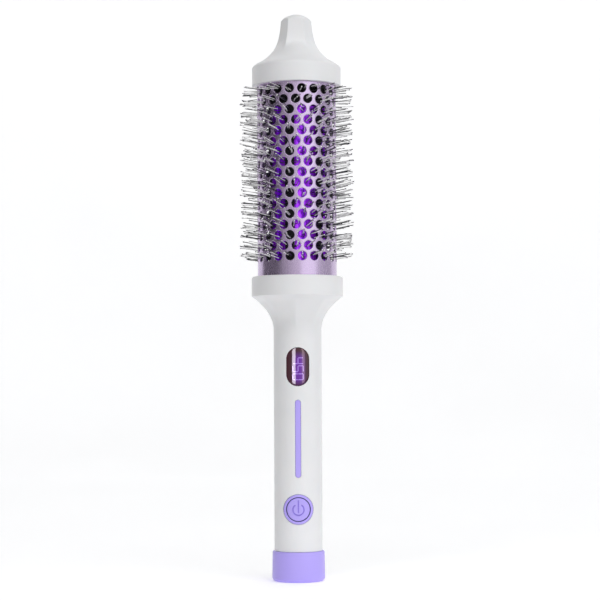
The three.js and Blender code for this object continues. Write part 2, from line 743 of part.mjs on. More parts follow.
// The cap follows the handle's curve in front; two tabs behind the ring keep it in.
function powerButton() {
  const plug = crossRod(BUTTON_RADIUS, WALL_OUTSIDE, BUTTON_BACK, 24, 0, BUTTON_CENTRE);
  const skin = rod(HANDLE_RADIUS + BUTTON_RISE, CAP_HEIGHT, NECK_BOTTOM, 60);
  const span = 2 * (RING_RADIUS - BUTTON_TAB.inset);
  const tabs = box(BUTTON_TAB.width, BUTTON_TAB.thickness, span, 0, BUTTON_TAB.y, BUTTON_CENTRE);
  return join(common(plug, skin), tabs);
}

function switchPlunger() {
  return crossRod(PLUNGER.radius, PLUNGER.front, PLUNGER.back, 10, 0, BUTTON_CENTRE);
}

// The switch's metal case, soldered flat on the board, with a bore that its plunger runs in.
function switchBody() {
  const back = BOARD_FRONT - SWITCH.solder;
  const middle = back - SWITCH.thickness / 2;
  const body = box(SWITCH.size, SWITCH.thickness, SWITCH.size, 0, middle, BUTTON_CENTRE);
  return cut(body, crossRod(SWITCH.bore, WALL_OUTSIDE, back - SWITCH.floor, 10, 0, BUTTON_CENTRE));
}

// ---- power --------------------------------------------------------------------------------------

function batteryCell(bottom) {
  const top = bottom + CELL_LENGTH;
  const shoulder = top - CELL_BUTTON.height;
  return turned([
    [0, bottom],
    [CELL_RADIUS - CELL_EDGE, bottom],
    [CELL_RADIUS, bottom + CELL_EDGE],
    [CELL_RADIUS, shoulder - CELL_EDGE],
    [CELL_RADIUS - CELL_EDGE, shoulder],
    [CELL_BUTTON.radius, shoulder],
    [CELL_BUTTON.radius, top],
    [0, top],
  ], 16).translate(0, CELL_Y, 0);
}

function contactPlate(z) {
  return rod(CONTACT.radius, z, z + CONTACT.thickness, 10, 0, CELL_Y);
}

// A channel that fills the crescents between the cells and the handle's wall.
function batteryHolder() {
  const bottom = CELL_BOTTOM - 1;
  const top = CELL_BOTTOM + 2 * CELL_LENGTH;
  const outside = rod(HANDLE_RADIUS - HANDLE_WALL - GAP, bottom, top, 24);
  const size = 4 * HANDLE_RADIUS;
  const screwTop = CAP_SCREW_SEAT + CAP_SCREW.length + OVERCUT;
  const tools = [
    rod(CELL_RADIUS + SCREW_GAP, bottom - OVERCUT, top + OVERCUT, 20, 0, CELL_Y),
    box(size, size, 2 * (top + OVERCUT), 0, HOLDER_FRONT - size / 2, 0),
    ...[-1, 1].map((side) => (
      rod(SMALL_PILOT_RADIUS, bottom - OVERCUT, screwTop, 8, side * CAP_SCREW_X, CAP_SCREW_Y)
    )),
  ];
  return cut(outside, ...tools);
}

function chargeBoard() {
  const { width, thickness, height, y, lift } = CHARGE_BOARD;
  return box(width, thickness, height, 0, y, CAP_FLOOR + GAP + lift + height / 2);
}

// A stadium outline extruded up +Z from bottom to top, its long side along X.
function inletOutline(growth, bottom, top) {
  const outline = stadium(INLET.depth + 2 * growth, INLET.width + 2 * growth, bottom, top, 0, 5);
  return outline.rotateX(Math.PI / 2).rotateZ(Math.PI / 2);
}

// The charging socket's metal shell, open downwards for the plug.
function chargeSocket() {
  return cut(
    inletOutline(0, INLET.bottom, INLET.top),
    inletOutline(-INLET.wall, INLET.bottom - OVERCUT, INLET.top - INLET.floor),
  );
}

function endCap() {
  const body = turned([
    [0, 0],
    [CAP_BASE_RADIUS - CAP_EDGE, 0],
    [CAP_BASE_RADIUS - CAP_BEVEL, CAP_BEVEL],
    [CAP_BASE_RADIUS, CAP_EDGE],
    [CAP_RIM_RADIUS, CAP_HEIGHT - CAP_RIM_EDGE],
    [CAP_RIM_RADIUS - CAP_RIM_EDGE, CAP_HEIGHT],
    [CAP_BORE_RADIUS, CAP_HEIGHT],
    [CAP_BORE_RADIUS, CAP_FLOOR],
    [0, CAP_FLOOR],
  ], 24);
  const inlet = inletOutline(GAP, -OVERCUT, CAP_FLOOR + OVERCUT);
  const screwTools = [-1, 1].flatMap((side) => [
    rod(CAP_SCREW_BORE, -OVERCUT, CAP_FLOOR + OVERCUT, 8, side * CAP_SCREW_X, CAP_SCREW_Y),
    rod(SCREW_SEAT_RADIUS, -OVERCUT, CAP_SCREW_SEAT, 12, side * CAP_SCREW_X, CAP_SCREW_Y),
  ]);
  return cut(body, inlet, ...screwTools);
}

function capScrew(side) {
  return screw(CAP_SCREW).translate(side * CAP_SCREW_X, CAP_SCREW_Y, CAP_SCREW_SEAT - SCREW_GAP);
}

// ---- assembly -----------------------------------------------------------------------------------

const brush = new THREE.Group();

function place(name, geometry, finish) {
  const mesh = new THREE.Mesh(geometry, makeMaterial(finish));
  mesh.name = name;
  brush.add(mesh);
}

place('tip_cap', tipCap(), 'white_shell');
place('tip_screw', tipScrew(), 'steel');
place('top_bush', topBush(), 'black_plastic');
place('barrel', barrel(), 'barrel_coat');
for (let i = 0; i < STRIPS; i += 1) {
  place(`bristle_strip_${String(i + 1).padStart(2, '0')}`, bristleStrip(i), 'bristle');
}
place('heat_core', heatCore(), 'core_violet');
place('heat_block_front', heatBlock(-1), 'aluminium');
place('heat_block_rear', heatBlock(1), 'aluminium');
place('heater_plate', ptcPlate(), 'ceramic');
place('temperature_sensor', capsule(SENSOR), 'black_plastic');
place('thermal_fuse', capsule(FUSE), 'steel');
place('base_socket', baseSocket(), 'black_plastic');
place('heater_lead_left', heaterLead(-1), 'wire');
place('heater_lead_right', heaterLead(1), 'wire');
place('sensor_lead', sensorLead(), 'wire');
place('front_shell', frontShell(), 'white_shell');
place('rear_shell', rearShell(), 'white_shell');
place('neck_screw_left', neckScrew(-1), 'steel');
place('neck_screw_right', neckScrew(1), 'steel');
place('display_window', displayWindow(), 'dark_glass');
place('display_module', displayModule(), 'black_plastic');
place('light_bar', lightBar(), 'lavender');
place('main_board', mainBoard(), 'circuit_board');
place('board_screw_lower', boardScrew(BOARD_SCREW_HEIGHTS[0]), 'steel');
place('board_screw_upper', boardScrew(BOARD_SCREW_HEIGHTS[1]), 'steel');
place('button_ring', buttonRing(), 'lavender');
place('power_button', powerButton(), 'lavender');
place('switch_plunger', switchPlunger(), 'black_plastic');
place('switch_body', switchBody(), 'steel');
place('battery_cell_lower', batteryCell(CELL_BOTTOM), 'cell_sleeve');
place('battery_cell_upper', batteryCell(CELL_BOTTOM + CELL_LENGTH + GAP), 'cell_sleeve');
place('battery_contact_lower', contactPlate(CELL_BOTTOM - CONTACT.gap), 'steel');
place('battery_contact_upper', contactPlate(CELL_BOTTOM + 2 * CELL_LENGTH + 2 * GAP), 'steel');
place('battery_holder', batteryHolder(), 'black_plastic');
place('charge_board', chargeBoard(), 'circuit_board');
place('charge_socket', chargeSocket(), 'steel');
place('end_cap', endCap(), 'lavender');
place('end_cap_screw_left', capScrew(-1), 'steel');
place('end_cap_screw_right', capScrew(1), 'steel');

export default brush;
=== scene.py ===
"""Cordless heated round brush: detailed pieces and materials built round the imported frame."""
import json
import math
import random

import bmesh
import bpy
import numpy as np
from mathutils import Matrix, Vector


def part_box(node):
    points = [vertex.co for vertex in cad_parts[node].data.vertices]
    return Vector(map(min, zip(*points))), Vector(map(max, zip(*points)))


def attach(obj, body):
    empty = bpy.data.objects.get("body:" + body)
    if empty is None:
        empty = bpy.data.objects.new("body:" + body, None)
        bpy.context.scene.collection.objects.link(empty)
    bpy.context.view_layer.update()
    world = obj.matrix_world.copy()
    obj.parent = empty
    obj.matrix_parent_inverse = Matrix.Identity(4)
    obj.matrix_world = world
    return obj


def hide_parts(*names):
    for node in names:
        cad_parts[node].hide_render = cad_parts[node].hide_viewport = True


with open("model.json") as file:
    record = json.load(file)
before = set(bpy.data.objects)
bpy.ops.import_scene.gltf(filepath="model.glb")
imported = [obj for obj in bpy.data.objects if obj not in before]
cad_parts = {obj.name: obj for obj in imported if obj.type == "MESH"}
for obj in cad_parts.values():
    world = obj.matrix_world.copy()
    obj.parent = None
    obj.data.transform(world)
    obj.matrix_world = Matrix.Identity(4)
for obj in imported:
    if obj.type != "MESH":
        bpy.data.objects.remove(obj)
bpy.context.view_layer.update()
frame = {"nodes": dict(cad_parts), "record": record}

# Working lengths are in millimetres and become metres when a mesh is made.
MM = 0.001


def span(node):
    """Lowest and highest corner of a CAD node in millimetres."""
    low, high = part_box(node)
    return low / MM, high / MM


# ---- sizes: what the frame gives is read from it, the rest is set here ----

barrel_low, barrel_high = span("barrel")
BARREL_RADIUS = barrel_high.x
BARREL_WALL = 0.8
BARREL_BOTTOM = barrel_low.z
BARREL_TOP = barrel_high.z

_, cap_high = span("end_cap")
CAP_BASE_RADIUS = cap_high.x
CAP_RIM_RADIUS = CAP_BASE_RADIUS - 0.25
CAP_HEIGHT = cap_high.z
CAP_BORE = 11.5
CAP_FLOOR = 4.0

shell_low, shell_high = span("front_shell")
COLLAR_RADIUS = shell_high.x
COLLAR_TOP = shell_high.z
HANDLE_RADIUS = 12.1
HANDLE_BORE = 10.3
# The cutters of the front openings reach from one of these radii to the other.
OPENING_INSIDE = HANDLE_BORE - 1.6
OPENING_OUTSIDE = HANDLE_RADIUS + 3
TENON_RADIUS = 11.2
TENON_WALL = 1.5
TENON_BOTTOM = shell_low.z
NECK_BOTTOM = 125.0
NECK_TOP = 142.5
NECK_POWER = 2.15
NECK_BORE = 8.0
NECK_BORE_TAPER = (3, 12)
COLLAR_EDGE = 1.1
COLLAR_FLOOR = 145.2
COLLAR_BORE = 21.8
COLLAR_LIP = 149.8
# Clearance between the end cap and the shells, and round the barrel where it enters its seats.
JOINT = 0.12
SLIDE_FIT = 0.18
# Half the width of the joint line between the two shells.
SEAM = 0.06
# Cutters run this far past the faces that they open.
OVERCUT = 1

tip_low, tip_high = span("tip_cap")
TIP_BOTTOM = tip_low.z
TIP_TOP = tip_high.z
TIP_RIM_RADIUS = 22.5
TIP_GRIP_RADIUS = 7.3
TIP_FLARE_SWELL = 13.3
TIP_FLARE_DECAY = 0.15
TIP_FLARE_CREST = 260.2
TIP_FACETS_START = 265.5
TIP_FACETS_FULL = 272.0
TIP_DOME = 10.6
TIP_APEX = 0.02
TIP_SHOULDER_REACH = 3.0
TIP_CAVITY = 17.5
# Room over the barrel's upper end, inside the tip.
TIP_GAP = 0.3
TIP_BOSS = 4.5
TIP_BOSS_TOP = 263
TIP_PILOT = 1.7
TIP_PILOT_TOP = 264

window_low, window_high = span("display_window")
WINDOW_WIDTH = 2 * window_high.x
WINDOW_HEIGHT = window_high.z - window_low.z
WINDOW_Z = (window_high.z + window_low.z) / 2
WINDOW_INSIDE = 10.9
WINDOW_SINK = 0.08
bar_low, bar_high = span("light_bar")
BAR_WIDTH = 2 * bar_high.x
BAR_HEIGHT = bar_high.z - bar_low.z
BAR_Z = (bar_high.z + bar_low.z) / 2
BAR_INSIDE = 10.3
BAR_SINK = 0.06
ring_low, ring_high = span("button_ring")
BUTTON_Z = (ring_low.z + ring_high.z) / 2
RING_RADIUS = (ring_high.z - ring_low.z) / 2
RING_BORE = 6.1
RING_INSIDE = 10.7
RING_RISE = 0.5
BUTTON_RADIUS = 5.7
BUTTON_INSIDE = 10.6
BUTTON_RISE = 0.3
# An outline with no straight part closes on a doubled point: this keeps its two halves apart.
SPLIT = 0.001

core_low, core_high = span("heat_core")
CORE_RADIUS = core_high.x
CORE_WALL = 1.5

HOLE_ROWS = 17
HOLES_PER_ROW = 20
HOLE_PITCH = 5.22
HOLE_FIRST = 161.9
HOLE_RADIUS = 2.3
HOLE_TURN = 7.6
HOLE_EDGE = 0.16
STRIPS = 10
STRIP_TURN = -14.9
STRIP_LOW = 157.0
STRIP_HIGH = 248.0
BRISTLE_REACH = 29.0
RAIL_OUTER = 14.2
RAIL_INNER = 12.9
RAIL_EDGE = 0.4
# Half the angle that a rail takes up round the core, in degrees.
BLACK_RAIL_SPREAD = 9.5
VIOLET_RAIL_SPREAD = 6.5


# ---- materials ----

def shader_tree(name):
    """A new material, with its node tree and its shader node."""
    material = bpy.data.materials.new(name)
    material.use_nodes = True
    tree = material.node_tree
    return material, tree, tree.nodes["Principled BSDF"]


def fill(tree, node, values):
    """Sets a node's inputs to numbers or (r, g, b) colours, or links other nodes' outputs in."""
    for name, value in values.items():
        socket = node.inputs[name]
        if isinstance(value, bpy.types.NodeSocket):
            tree.links.new(value, socket)
        elif socket.type == "RGBA":
            socket.default_value = (*value, 1)
        else:
            socket.default_value = value


def noise(tree, size_mm, detail=3.0, stretch=(1, 1, 1)):
    """Noise in object space whose features are about size_mm across."""
    coordinates = tree.nodes.new("ShaderNodeTexCoord")
    mapping = tree.nodes.new("ShaderNodeMapping")
    fill(tree, mapping, {"Vector": coordinates.outputs["Object"], "Scale": stretch})
    texture = tree.nodes.new("ShaderNodeTexNoise")
    fill(tree, texture, {"Vector": mapping.outputs["Vector"], "Scale": 1 / (size_mm * MM),
                         "Detail": detail})
    return texture.outputs["Fac"]


def ranged(tree, value, low, high, start=0.3, end=0.7, easing="LINEAR"):
    """Carries a value that runs from start to end over to a run from low to high."""
    node = tree.nodes.new("ShaderNodeMapRange")
    node.interpolation_type = easing
    fill(tree, node, {"Value": value, "From Min": start, "From Max": end, "To Min": low,
                      "To Max": high})
    return node.outputs["Result"]


def blended(tree, value, first, second):
    """A colour between two, each an (r, g, b) or the output of another node."""
    node = tree.nodes.new("ShaderNodeMix")
    node.data_type = "RGBA"
    fill(tree, node, {"Factor": value, "A": first, "B": second})
    return node.outputs["Result"]


def computed(tree, operation, *values):
    """The result of a maths node whose inputs are numbers or the outputs of other nodes."""
    node = tree.nodes.new("ShaderNodeMath")
    node.operation = operation
    fill(tree, node, dict(enumerate(values)))
    return node.outputs["Value"]


def components(tree, space):
    """X, Y and Z of a point in one of the texture coordinate spaces."""
    coordinates = tree.nodes.new("ShaderNodeTexCoord")
    parts = tree.nodes.new("ShaderNodeSeparateXYZ")
    fill(tree, parts, {"Vector": coordinates.outputs[space]})
    return [parts.outputs[axis] for axis in "XYZ"]


def bumped(tree, shader, value, depth_mm, strength=0.5, below=None):
    """Bumps a shader's surface by a value, over the bumps below where they are given."""
    node = tree.nodes.new("ShaderNodeBump")
    fill(tree, node, {"Distance": depth_mm * MM, "Strength": strength, "Height": value})
    if below is not None:
        fill(tree, node, {"Normal": below})
    fill(tree, shader, {"Normal": node.outputs["Normal"]})
    return node.outputs["Normal"]


def plastic(name, light, dark, rough, coat=0.0, scatter=0.0, shine=0.5):
    """Moulded plastic: faint cloudiness in the colour, uneven gloss and a fine mould texture."""
    material, tree, shader = shader_tree(name)
    cloud = ranged(tree, noise(tree, 18, 4), 0, 1)
    wave = bumped(tree, shader, noise(tree, 9, 2), 0.02, 0.25)
    bumped(tree, shader, noise(tree, 0.25, 2), 0.01, 0.5, wave)
    fill(tree, shader, {
        "Base Color": blended(tree, cloud, light, dark),
        "Roughness": ranged(tree, noise(tree, 4, 5), *rough),
        "Coat Weight": coat,
        "Coat Roughness": 0.2,
        "Subsurface Weight": scatter,
        "Subsurface Scale": 0.0015,
        "Specular IOR Level": shine,
    })
    return material


def metal(name, light, dark, rough, stretch=(1, 1, 1), depth_mm=0.004, coat=0.0, metallic=1.0):
    """Metal with drawn or turned streaks that vary its colour, gloss and surface."""
    material, tree, shader = shader_tree(name)
    streak = noise(tree, 0.3, 4, stretch)
    cloud = ranged(tree, noise(tree, 12, 3), 0, 1)
    bumped(tree, shader, streak, depth_mm)
    fill(tree, shader, {
        "Base Color": blended(tree, cloud, light, dark),
        "Roughness": ranged(tree, streak, *rough),
        "Metallic": metallic,
        "Coat Weight": coat,
        "Coat Roughness": 0.12,
    })
    return material


def nylon(name, light, dark, rough, clear):
    """Bristle nylon: part clear, streaked, with a wet-looking surface."""
    material, tree, shader = shader_tree(name)
    streak = ranged(tree, noise(tree, 1.1, 3), 0, 1, 0.35, 0.65)
    bumped(tree, shader, noise(tree, 0.3, 2), 0.01, 0.3)
    fill(tree, shader, {
        "Base Color": blended(tree, streak, light, dark),
        "Roughness": ranged(tree, noise(tree, 0.6, 2), *rough),
        "Transmission Weight": clear,
        "IOR": 1.5,
    })
    return material


def glowing(name, colour, strength):
    """A lit display segment with a slightly uneven glow."""
    material, tree, shader = shader_tree(name)
    uneven = ranged(tree, noise(tree, 0.8, 2), 0, 1)
    glow, unlit = [[tuple(share * part for part in colour) for share in shares]
                   for shares in ((1, 0.85), (0.12, 0.09))]
    fill(tree, shader, {
        "Base Color": blended(tree, uneven, *unlit),
        "Emission Color": blended(tree, uneven, *glow),
        "Emission Strength": strength,
        "Roughness": ranged(tree, noise(tree, 0.8, 2), 0.04, 0.1),
    })
    return material


def faded(tree, value, centre, start, end):
    """Falls from one to nothing between two distances, in millimetres, from a centre."""
    distance = computed(tree, "ABSOLUTE", computed(tree, "SUBTRACT", value, centre * MM))
    return ranged(tree, distance, 1, 0, start * MM, end * MM, "SMOOTHSTEP")


def smoked_window(name):
    """Polished smoked plastic, brown at its edges, with violet light behind its middle."""
    material, tree, shader = shader_tree(name)
    x, _, z = components(tree, "Object")
    beside = faded(tree, x, 0.6, 0.5, 4.2)
    lit = computed(tree, "MULTIPLY", beside, faded(tree, z, WINDOW_Z - 1.0, 4.0, 9.5))
    cloud = ranged(tree, noise(tree, 3, 3), 0, 1)
    bumped(tree, shader, noise(tree, 1.5, 2), 0.0006, 0.3)
    fill(tree, shader, {
        "Base Color": blended(tree, cloud, (0.020, 0.008, 0.010), (0.014, 0.006, 0.008)),
        "Emission Color": blended(tree, lit, (0.024, 0.007, 0.011), (0.110, 0.012, 0.320)),
        "Emission Strength": 1.0,
        "Specular IOR Level": 0.34,
        "Roughness": ranged(tree, noise(tree, 2, 4), 0.03, 0.07),
    })
    return material


def circuit(name):
    """Solder mask with darker traces under it."""
    material, tree, shader = shader_tree(name)
    traces = ranged(tree, noise(tree, 2.5, 1, (1, 4, 1)), 0, 1, 0.48, 0.52)
    bumped(tree, shader, traces, 0.02, 0.4)
    fill(tree, shader, {
        "Base Color": blended(tree, traces, (0.01, 0.13, 0.05), (0.02, 0.2, 0.08)),
        "Roughness": ranged(tree, noise(tree, 1.5, 3), 0.3, 0.5),
    })
    return material


SHELL = plastic("white_shell", (0.80, 0.80, 0.81), (0.77, 0.77, 0.78), (0.34, 0.46),
                coat=0.08, scatter=0.05)
LAVENDER = plastic("lavender", (0.47, 0.385, 0.93), (0.45, 0.365, 0.91), (0.36, 0.46), coat=0.05)
# Darker lavender for the power symbol's groove faces: painted shade in the grooves.
LAVENDER_GROOVE_SHADE = plastic("lavender_painted_groove_shade", (0.37, 0.285, 0.82), (0.35, 0.27, 0.80), (0.36, 0.46))
BLACK = plastic("black_plastic", (0.006, 0.006, 0.007), (0.010, 0.010, 0.011), (0.5, 0.65),
                shine=0.25)
SMOKED = smoked_window("dark_window")
BARREL_COAT = metal("barrel_coat", (0.60, 0.48, 0.69), (0.57, 0.45, 0.66), (0.23, 0.29),
                    (1, 1, 0.08), depth_mm=0.002, coat=0.25, metallic=0.87)
VIOLET = metal("core_violet", (0.46, 0.03, 1.0), (0.36, 0.02, 0.95), (0.2, 0.34),
               (1, 1, 0.06), metallic=0.45)
ALUMINIUM = metal("aluminium", (0.72, 0.73, 0.74), (0.62, 0.63, 0.64), (0.3, 0.45), (1, 1, 0.1))
STEEL = metal("steel", (0.58, 0.58, 0.57), (0.48, 0.48, 0.47), (0.25, 0.45))
CERAMIC = plastic("ceramic", (0.75, 0.72, 0.66), (0.68, 0.64, 0.57), (0.5, 0.7))
CELL = metal("cell_sleeve", (0.03, 0.16, 0.45), (0.02, 0.12, 0.38), (0.2, 0.35),
             metallic=0.2, coat=0.5)
WIRE = plastic("wire_sleeve", (0.5, 0.03, 0.02), (0.4, 0.02, 0.02), (0.4, 0.55))
NYLON_PALE = nylon("bristle_pale", (0.90, 0.90, 0.89), (0.62, 0.62, 0.61), (0.10, 0.20), 0.05)
NYLON_DARK = nylon("bristle_dark", (0.05, 0.05, 0.055), (0.015, 0.015, 0.018), (0.2, 0.35), 0.1)
BOARD = circuit("circuit_board")
DIGIT = glowing("display_digit", (0.46, 0.26, 0.86), 0.75)

SLOT_MATERIALS = dict(
    white_shell=SHELL, lavender=LAVENDER, barrel_coat=BARREL_COAT, core_violet=VIOLET,
    bristle=NYLON_DARK, black_plastic=BLACK, dark_window=SMOKED, aluminium=ALUMINIUM, steel=STEEL,
    circuit_board=BOARD, ceramic=CERAMIC, cell_sleeve=CELL, wire_sleeve=WIRE,
)


def finish_cad_nodes():
    """Gives every CAD node the detailed material of its record slot."""
    for part in frame["record"]["subparts"]:
        node = frame["nodes"][part["node"]]
        node.data.materials.clear()
        node.data.materials.append(SLOT_MATERIALS[part["material_slot"]])


# ---- mesh helpers ----

def polar(radius, degrees, z):
    """A point about the brush axis; angle 0 faces the front (-Y), positive turns right (+X)."""
    angle = math.radians(degrees)
    return (radius * math.sin(angle), -radius * math.cos(angle), z)


def linked(thing):
    bpy.context.scene.collection.objects.link(thing)
    return thing


def mesh_object(name, points, faces, unit=MM):
    """A mesh object from points in millimetres, or in another unit of so many metres."""
    mesh = bpy.data.meshes.new(name)
    mesh.from_pydata((np.asarray(points, float) * unit).tolist(), [], faces)
    return linked(bpy.data.objects.new(name, mesh))


def new_object(name, points, faces, materials, sharp=35):
    """A solid from millimetre points; edges bent more than sharp degrees stay hard."""
    thing = mesh_object(name, points, faces)
    clean(thing, sharp)
    for material in materials:
        thing.data.materials.append(material)
    return thing


def clean(thing, sharp):
    """Welds doubled points, turns the faces outwards and sets smooth shading."""
    mesh = thing.data
    work = bmesh.new()
    work.from_mesh(mesh)
    bmesh.ops.remove_doubles(work, verts=work.verts, dist=1e-7)
    bmesh.ops.dissolve_degenerate(work, edges=work.edges, dist=1e-8)
    bmesh.ops.recalc_face_normals(work, faces=work.faces)
    work.to_mesh(mesh)
    work.free()
    shade(mesh, sharp)


def shade(mesh, sharp):
    """Smooth shading, apart from edges bent more than sharp degrees."""
    mesh.shade_smooth()
    mesh.set_sharp_from_angle(angle=math.radians(sharp))


def grid_faces(levels, sides, closed_ends=False, start=0):
    """Quads between stacked rings of points; closed_ends joins the last ring back to the first."""
    faces = []
    for level in range(levels if closed_ends else levels - 1):
        low = start + level * sides
        high = start + ((level + 1) % levels) * sides
        for i in range(sides):
            j = (i + 1) % sides
            faces.append((low + i, low + j, high + j, high + i))
    return faces


def stack(rings):
    """Points and faces of a solid through stacked rings, closed by a flat face at each end."""
    sides = len(rings[0])
    points = [point for ring in rings for point in ring]
    faces = grid_faces(len(rings), sides)
    faces.append(tuple(reversed(range(sides))))
    faces.append(tuple(range((len(rings) - 1) * sides, len(rings) * sides)))
    return points, faces


def turned(name, profile, materials, sides=128, sharp=35):
    """A solid of revolution from a (radius, z) outline, closed or from axis to axis."""
    closed = profile[0] == profile[-1]
    outline = profile[:-1] if closed else profile
    points = []
    for radius, z in outline:
        points.extend(polar(radius, 360 * i / sides, z) for i in range(sides))
    faces = grid_faces(len(outline), sides, closed)
    return new_object(name, points, faces, materials, sharp)


def rounded(corners, steps=6):
    """An outline whose (r, z, radius) corners are turned into arcs."""
    outline = []
    count = len(corners)
    for i, (r, z, radius) in enumerate(corners):
        here = Vector((r, z))
        if radius == 0 or i in (0, count - 1):
            outline.append((r, z))
            continue
        before = Vector(corners[i - 1][:2]) - here
        after = Vector(corners[i + 1][:2]) - here
        half = before.angle(after) / 2
        reach = min(radius / math.tan(half), before.length * 0.49, after.length * 0.49)
        start = here + before.normalized() * reach
        end = here + after.normalized() * reach
        for step in range(steps + 1):
            t = step / steps
            point = start * (1 - t) ** 2 + here * 2 * t * (1 - t) + end * t * t
            outline.append((point.x, point.y))
    return outline


def cut(thing, cutter, sharp=35):
    """Takes the cutter's volume away from thing and removes the cutter."""
    modifier = thing.modifiers.new("cut", "BOOLEAN")
    modifier.operation = "DIFFERENCE"
    modifier.solver = "EXACT"
    modifier.object = cutter
    bpy.context.view_layer.update()
    graph = bpy.context.evaluated_depsgraph_get()
    result = bpy.data.meshes.new_from_object(thing.evaluated_get(graph))
    thing.modifiers.clear()
    old = thing.data
    thing.data = result
    bpy.data.meshes.remove(old)
    bpy.data.objects.remove(cutter)
    shade(result, sharp)
    return thing


def box_solid(name, low, high, materials=()):
    corners = [(x, y, z) for z in (low[2], high[2]) for x, y in (
        (low[0], low[1]), (high[0], low[1]), (high[0], high[1]), (low[0], high[1]))]
    faces = [(0, 3, 2, 1), (4, 5, 6, 7), (0, 1, 5, 4), (1, 2, 6, 5), (2, 3, 7, 6), (3, 0, 4, 7)]
    return new_object(name, corners, faces, materials)


def keep(thing, nodes=(), body="brush"):
    """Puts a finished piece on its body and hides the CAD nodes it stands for."""
    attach(thing, body)
    if nodes:
        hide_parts(*nodes)
    return thing


def smoothstep(value, low, high):
    t = min(max((value - low) / (high - low), 0), 1)
    return t * t * (3 - 2 * t)


def soft_min(a, b, reach):
    """The smaller of two lengths, rounded where they meet."""
    h = max(reach - abs(a - b), 0) / reach
    return min(a, b) - h * h * reach / 4


def polygon_radius(degrees, sides, turn):
    """Distance from the centre of a unit polygon to its side, at an angle."""
    wedge = 360 / sides
    fold = (degrees - turn) % wedge - wedge / 2
    return math.cos(math.radians(wedge / 2)) / math.cos(math.radians(fold))


# ---- outlines wrapped round the handle ----

def wrap(u, v, radius):
    """A point on the front of a cylinder about the brush axis, u to the right and v up."""
    return (u, -math.sqrt(radius * radius - u * u), v)


def stadium(width, height, inset=0.0, arc_steps=24):
    """Stadium outline about the origin, counter-clockwise, its long side vertical."""
    radius = max(width / 2 - inset, 1e-4)
    straight = (height - width) / 2
    outline = []
    for centre, start in ((straight, 0), (-straight, 180)):
        for i in range(arc_steps + 1):
            angle = math.radians(start + 180 * i / arc_steps)
            outline.append((radius * math.cos(angle), centre + radius * math.sin(angle)))
    return outline


def wrapped_plug(name, width, height, centre, levels, materials, sharp=35, arc_steps=24):
    """A stadium-shaped solid curved like the handle, from (inset, radius) levels, back to front."""
    half = width / 2
    fill = [half * part for part in (1, 0.8, 0.6, 0.4, 0.2)]
    first, last = levels[0], levels[-1]
    full = [(inset, first[1]) for inset in fill if inset > first[0]] + list(levels)
    full += [(inset, last[1]) for inset in reversed(fill) if inset > last[0]]
    points = []
    for inset, radius in full:
        outline = stadium(width, height, inset, arc_steps)
        points.extend(wrap(u, centre + v, radius) for u, v in outline)
    sides = 2 * (arc_steps + 1)
    faces = grid_faces(len(full), sides)
    return new_object(name, points, faces, materials, sharp)


def lip(inset, radius, size, steps=4, outward=False):
    """Levels of a rounded edge of the given size that ends at a radius."""
    levels = []
    for i in range(steps + 1):
        angle = math.pi / 2 * i / steps
        run = size * (1 - math.cos(angle))
        rise = size * (1 - math.sin(angle))
        levels.append((inset - run if outward else inset + run, radius - rise))
    return levels


def wrapped_hole(width, height, centre, edge):
    """Cutter for an opening through the front wall with a rounded edge at the surface."""
    levels = [(0, OPENING_INSIDE)] + lip(0, HANDLE_RADIUS, edge, outward=True)
    levels.append((-edge - 0.02, OPENING_OUTSIDE))
    return wrapped_plug("cutter", width, height, centre, levels, [])


def wrapped_ring(name, outer, inner, centre, low, high, edge, materials):
    """A ring that follows the handle's curve, with rounded front edges."""
    section = rounded([
        (inner, low, 0), (outer, low, 0), (outer, high, edge), (inner, high, edge), (inner, low, 0),
    ], 4)[:-1]
    extra = [(inner + (outer - inner) * part, high) for part in (0.7, 0.5, 0.3)]
    middle, half_way = (outer + inner) / 2, (low + high) / 2
    at = next(i for i, (radius, height) in enumerate(section)
              if radius < middle and height > half_way)
    section = section[:at] + extra + section[at:]
    sides = 96
    points = []
    for radius, height in section:
        for i in range(sides):
            angle = 2 * math.pi * i / sides
            points.append(wrap(radius * math.cos(angle), centre + radius * math.sin(angle), height))
    return new_object(name, points, grid_faces(len(section), sides, True), materials)


# ---- white shells and tip ----

NECK_TURN = -4.0
NECK_FACETS = 8
TIP_TURN = -31.0
TIP_FACETS = 6
# Edges bent more than this stay sharp on the shells and the tip.
SHELL_SHARP = 38
SHELL_SIDES = 168
# Clearance round the window, the light bar and the button ring in their openings.
LENS_FIT = 0.08
RING_FIT = 0.12


def shell_radius(degrees, z):
    """Outer radius of the handle, the facetted neck and the collar."""
    if z <= NECK_BOTTOM:
        return HANDLE_RADIUS
    if z >= NECK_TOP:
        return COLLAR_RADIUS
    part = (z - NECK_BOTTOM) / (NECK_TOP - NECK_BOTTOM)
    radius = HANDLE_RADIUS + (COLLAR_RADIUS - HANDLE_RADIUS) * part ** NECK_POWER
    weight = smoothstep(part, 0, 0.45) * smoothstep(1 - part, 0, 0.2)
    flat = soft_min(polygon_radius(degrees, NECK_FACETS, NECK_TURN), 0.997, 0.005)
    return radius * (1 - weight + weight * flat)


def shell_levels():
    """Heights of the shell's rings, with how far each lies inside its outline."""
    levels = [(z, 0) for z in np.arange(CAP_HEIGHT + JOINT, NECK_BOTTOM, 1.2)]
    levels += [(z, 0) for z in np.linspace(NECK_BOTTOM, NECK_TOP - 0.35, 56)]
    levels += [(z, 0) for z in np.linspace(NECK_TOP + 0.1, COLLAR_TOP - COLLAR_EDGE, 9)]
    steps = 7
    for i in range(1, steps + 1):
        angle = math.pi / 2 * i / steps
        rise = COLLAR_EDGE * math.sin(angle)
        levels.append((COLLAR_TOP - COLLAR_EDGE + rise, COLLAR_EDGE * (1 - math.cos(angle))))
    return levels


